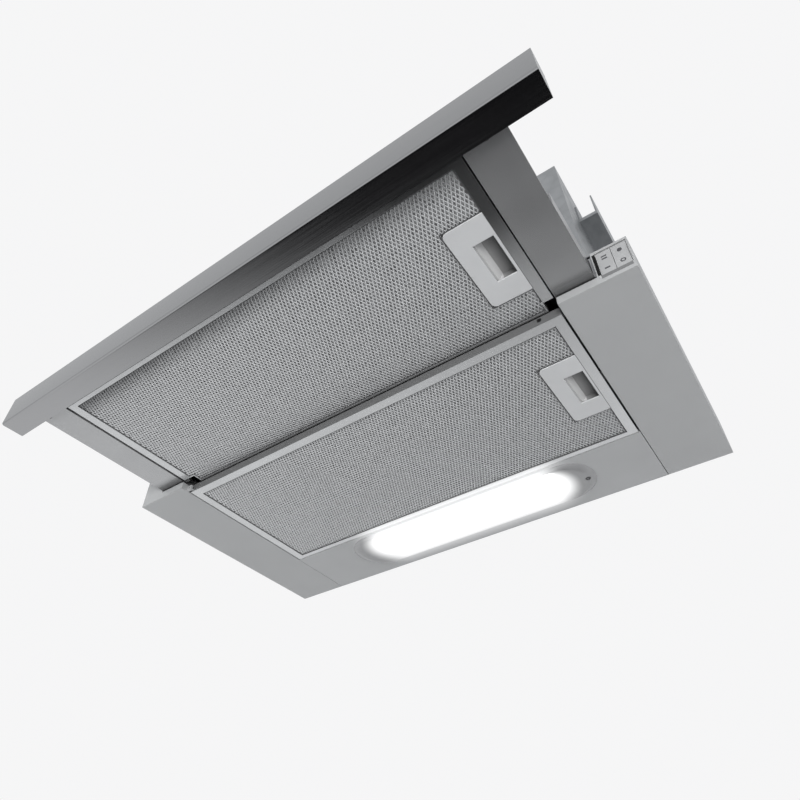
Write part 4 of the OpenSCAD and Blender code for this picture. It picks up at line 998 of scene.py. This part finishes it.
def build_screws(node, proud=0.0, mat=None):
    """Cross-recessed screws in the places of a node's plain ones, so much further out."""
    made = []
    for part in loose_parts(NODES[node].data):
        low, high = part.min(0), part.max(0)
        axis = int(np.argmax(high - low))
        across = [a for a in range(3) if a != axis]
        mid = (low + high) / 2
        far = np.hypot(part[:, across[0]] - mid[across[0]], part[:, across[1]] - mid[across[1]])
        head_r, shank_r = far.max(), far.min()
        face = part[far > head_r * HEAD_FACE][:, axis]
        up = 1 if face.mean() > mid[axis] else -1
        head_h = face.max() - face.min()
        top = high[axis] if up > 0 else low[axis]
        mesh = screw_mesh(head_r, head_h, shank_r, high[axis] - low[axis] - head_h)
        way = Vector([up if a == axis else 0 for a in range(3)])
        mesh.transform(way.to_track_quat("Z", "Y").to_matrix().to_4x4())
        place = Vector(mid)
        place[axis] = top + up * proud
        mesh.transform(Matrix.Translation(place))
        made.append(add(f"{node}_{len(made)}", mesh, BODY[node], SLOT[node], mat))
    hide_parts(node)


# Switch


def print_on_key(name, node, half, outlines):
    """A thin raised print on the upper (1) or the lower (-1) face of a key; outlines are lists
    of points in the face's own plane, each with a hole or None."""
    low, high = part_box(node)
    mid = (low + high) / 2
    rise = (high.z - low.z) / 2
    along = Vector((0, -half * KEY_DISH, rise)).normalized()
    out = Vector((0, -rise, -half * KEY_DISH)).normalized()
    centre = Vector((mid.x, low.y + KEY_DISH / 2, mid.z + half * rise / 2))
    bm = bmesh.new()
    for outline, hole in outlines:
        loops = []
        for points in (outline, hole) if hole else (outline,):
            loops.append([bm.verts.new(centre + Vector((1, 0, 0)) * u + along * v)
                          for u, v in points])
        edges = [bm.edges.new((r[i], r[(i + 1) % len(r)])) for r in loops for i in range(len(r))]
        bmesh.ops.triangle_fill(bm, edges=edges, use_beauty=True)
    top = bmesh.ops.extrude_face_region(bm, geom=list(bm.faces))["geom"]
    bmesh.ops.translate(bm, vec=out * PRINT_T,
                        verts=[g for g in top if isinstance(g, bmesh.types.BMVert)])
    mesh = finished(bm, bpy.data.meshes.new(name))
    add(name, mesh, BODY[node], SLOT["switch_block"], PRINT)


def disc(r, count=28):
    """Points round a circle."""
    return [(r * math.cos(2 * math.pi * i / count), r * math.sin(2 * math.pi * i / count))
            for i in range(count)]


def bar(wide, tall, up=0.0):
    """The corners of a bar, so far above the middle."""
    return [(-wide / 2, up - tall / 2), (wide / 2, up - tall / 2),
            (wide / 2, up + tall / 2), (-wide / 2, up + tall / 2)]


def build_prints():
    """Two strokes and one on the fan's key, a dot and a ring on the light's."""
    print_on_key("print_fan_high", "fan_rocker", 1,
                 [(bar(STROKE_W, STROKE_T, STROKE_STEP / 2), None),
                  (bar(STROKE_W, STROKE_T, -STROKE_STEP / 2), None)])
    print_on_key("print_fan_low", "fan_rocker", -1, [(bar(STROKE_W, STROKE_BOLD * STROKE_T), None)])
    print_on_key("print_light_on", "light_rocker", 1, [(disc(DOT_R), None)])
    print_on_key("print_light_off", "light_rocker", -1, [(disc(RING_R), disc(RING_HOLE_R))])


def build_switch_shades():
    """Painted shade: a black sheet for the slot at the switch's left side and a grey strip under
    its keys.
    """
    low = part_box("switch_block")[0]
    keys_low, keys_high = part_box("fan_rocker")
    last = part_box("light_rocker")[1]
    y0, y1 = low.y - TRIM_T, low.y
    add("switch_slot_shade", boxes("slot", [((low.x - SLOT_OUT, y0, keys_low.z),
                                       (low.x + SLOT_W, y1, keys_high.z))]),
        "housing", SLOT["switch_block"], BLACK)
    add("switch_strip_shade", boxes("strip", [((low.x + SLOT_W, y0, low.z - STRIP_LOW),
                                         (last.x, y1, low.z + STRIP_H))]),
        "housing", SLOT["switch_block"], STRIP)


# Camera, light and floor


def area(name, place, target, size, power):
    """A soft square lamp that looks at a target."""
    light = bpy.data.lights.new(name, "AREA")
    light.size = size
    light.energy = power
    o = placed(name, light)
    o.location = place
    o.rotation_euler = (Vector(target) - Vector(place)).to_track_quat("-Z", "Y").to_euler()
    o.visible_glossy = False


def build_world(scene):
    """A pale room: dark straight below, where nothing but the hob lies, and light round it."""
    world = bpy.data.worlds.new("room")
    scene.world = world
    world.use_nodes = True
    tree = world.node_tree
    room = tree.nodes["Background"]
    ramp = tree.nodes.new("ShaderNodeValToRGB")
    ramp.color_ramp.interpolation = "EASE"
    set_stops(ramp.color_ramp, ROOM)
    height = remap(tree, axes_of(tree, "Generated")["Z"], (-1.0, 1.0))
    tree.links.new(height, ramp.inputs["Fac"])
    tree.links.new(ramp.outputs["Color"], room.inputs["Color"])
    room.inputs["Strength"].default_value = ROOM_POWER
    shown = tree.nodes.new("ShaderNodeBackground")
    shown.inputs["Color"].default_value = (*BACKDROP, 1)
    path = tree.nodes.new("ShaderNodeLightPath")
    either = tree.nodes.new("ShaderNodeMixShader")
    tree.links.new(path.outputs["Is Camera Ray"], either.inputs["Fac"])
    tree.links.new(room.outputs["Background"], either.inputs[1])
    tree.links.new(shown.outputs["Background"], either.inputs[2])
    tree.links.new(either.outputs["Shader"], tree.nodes["World Output"].inputs["Surface"])


def build_stage():
    """The camera at the photograph's angle, the room, the floor and the lights."""
    scene = bpy.context.scene
    cam = bpy.data.cameras.new("camera")
    cam.lens = CAMERA_LENS
    cam.sensor_width = CAMERA_SENSOR
    cam.clip_start = CAMERA_CLIP
    o = placed("camera", cam)
    o.location = CAMERA_PLACE
    o.rotation_euler = (math.radians(90 + CAMERA_RISE), 0, math.radians(CAMERA_AZIMUTH))
    scene.camera = o
    build_world(scene)

    h = FLOOR_SIZE / 2
    floor = from_faces("floor", [(-h, -h, FLOOR_Z), (h, -h, FLOOR_Z), (h, h, FLOOR_Z),
                                 (-h, h, FLOOR_Z)], [(0, 1, 2, 3)])
    floor.materials.append(painted("floor", (0.62, 0.62, 0.625), rough=0.7, grain=400,
                                   height=20 * MICRON, vary=0.01))
    ground = placed("floor", floor)
    ground.visible_glossy = False

    for light in LIGHTS:
        area(*light)
    scene.view_settings.view_transform = "Standard"


# The whole scene

build_shades()
build_filter("front", FRONT_BAR, FRONT_NET_BACK, FRONT_NOTCHES)
build_filter("rear", REAR_FRONT_BAR, REAR_NET_BACK, NO_NOTCHES)
build_edge_shade("front", FRONT_BAR, FRONT_BACK_BAR, FRONT_NOTCHES)
build_edge_shade("rear", REAR_FRONT_BAR, REAR_BACK_BAR, NO_NOTCHES)
build_face_shades()
build_lip()
build_lamp()
build_prints()
build_switch_shades()
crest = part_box("lamp_bezel")[1].z - RIM_SWELL - SCREW_PROUD
build_screws("lamp_screw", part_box("lamp_screw")[0].z - crest, DARK_STEEL)
build_screws("casing_screws")

for node, width in ROUNDED:
    dress(node, width, mat=SPECIAL.get(node))
for side in ("front", "rear"):
    coil = side + "_latch_spring"
    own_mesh(dress(coil, 0, flats=False))
done = {n for n, _ in ROUNDED} | {"front_latch_spring", "rear_latch_spring"}
for node in NODES:
    if node not in done and not NODES[node].hide_render:
        repaint(node)

build_stage()
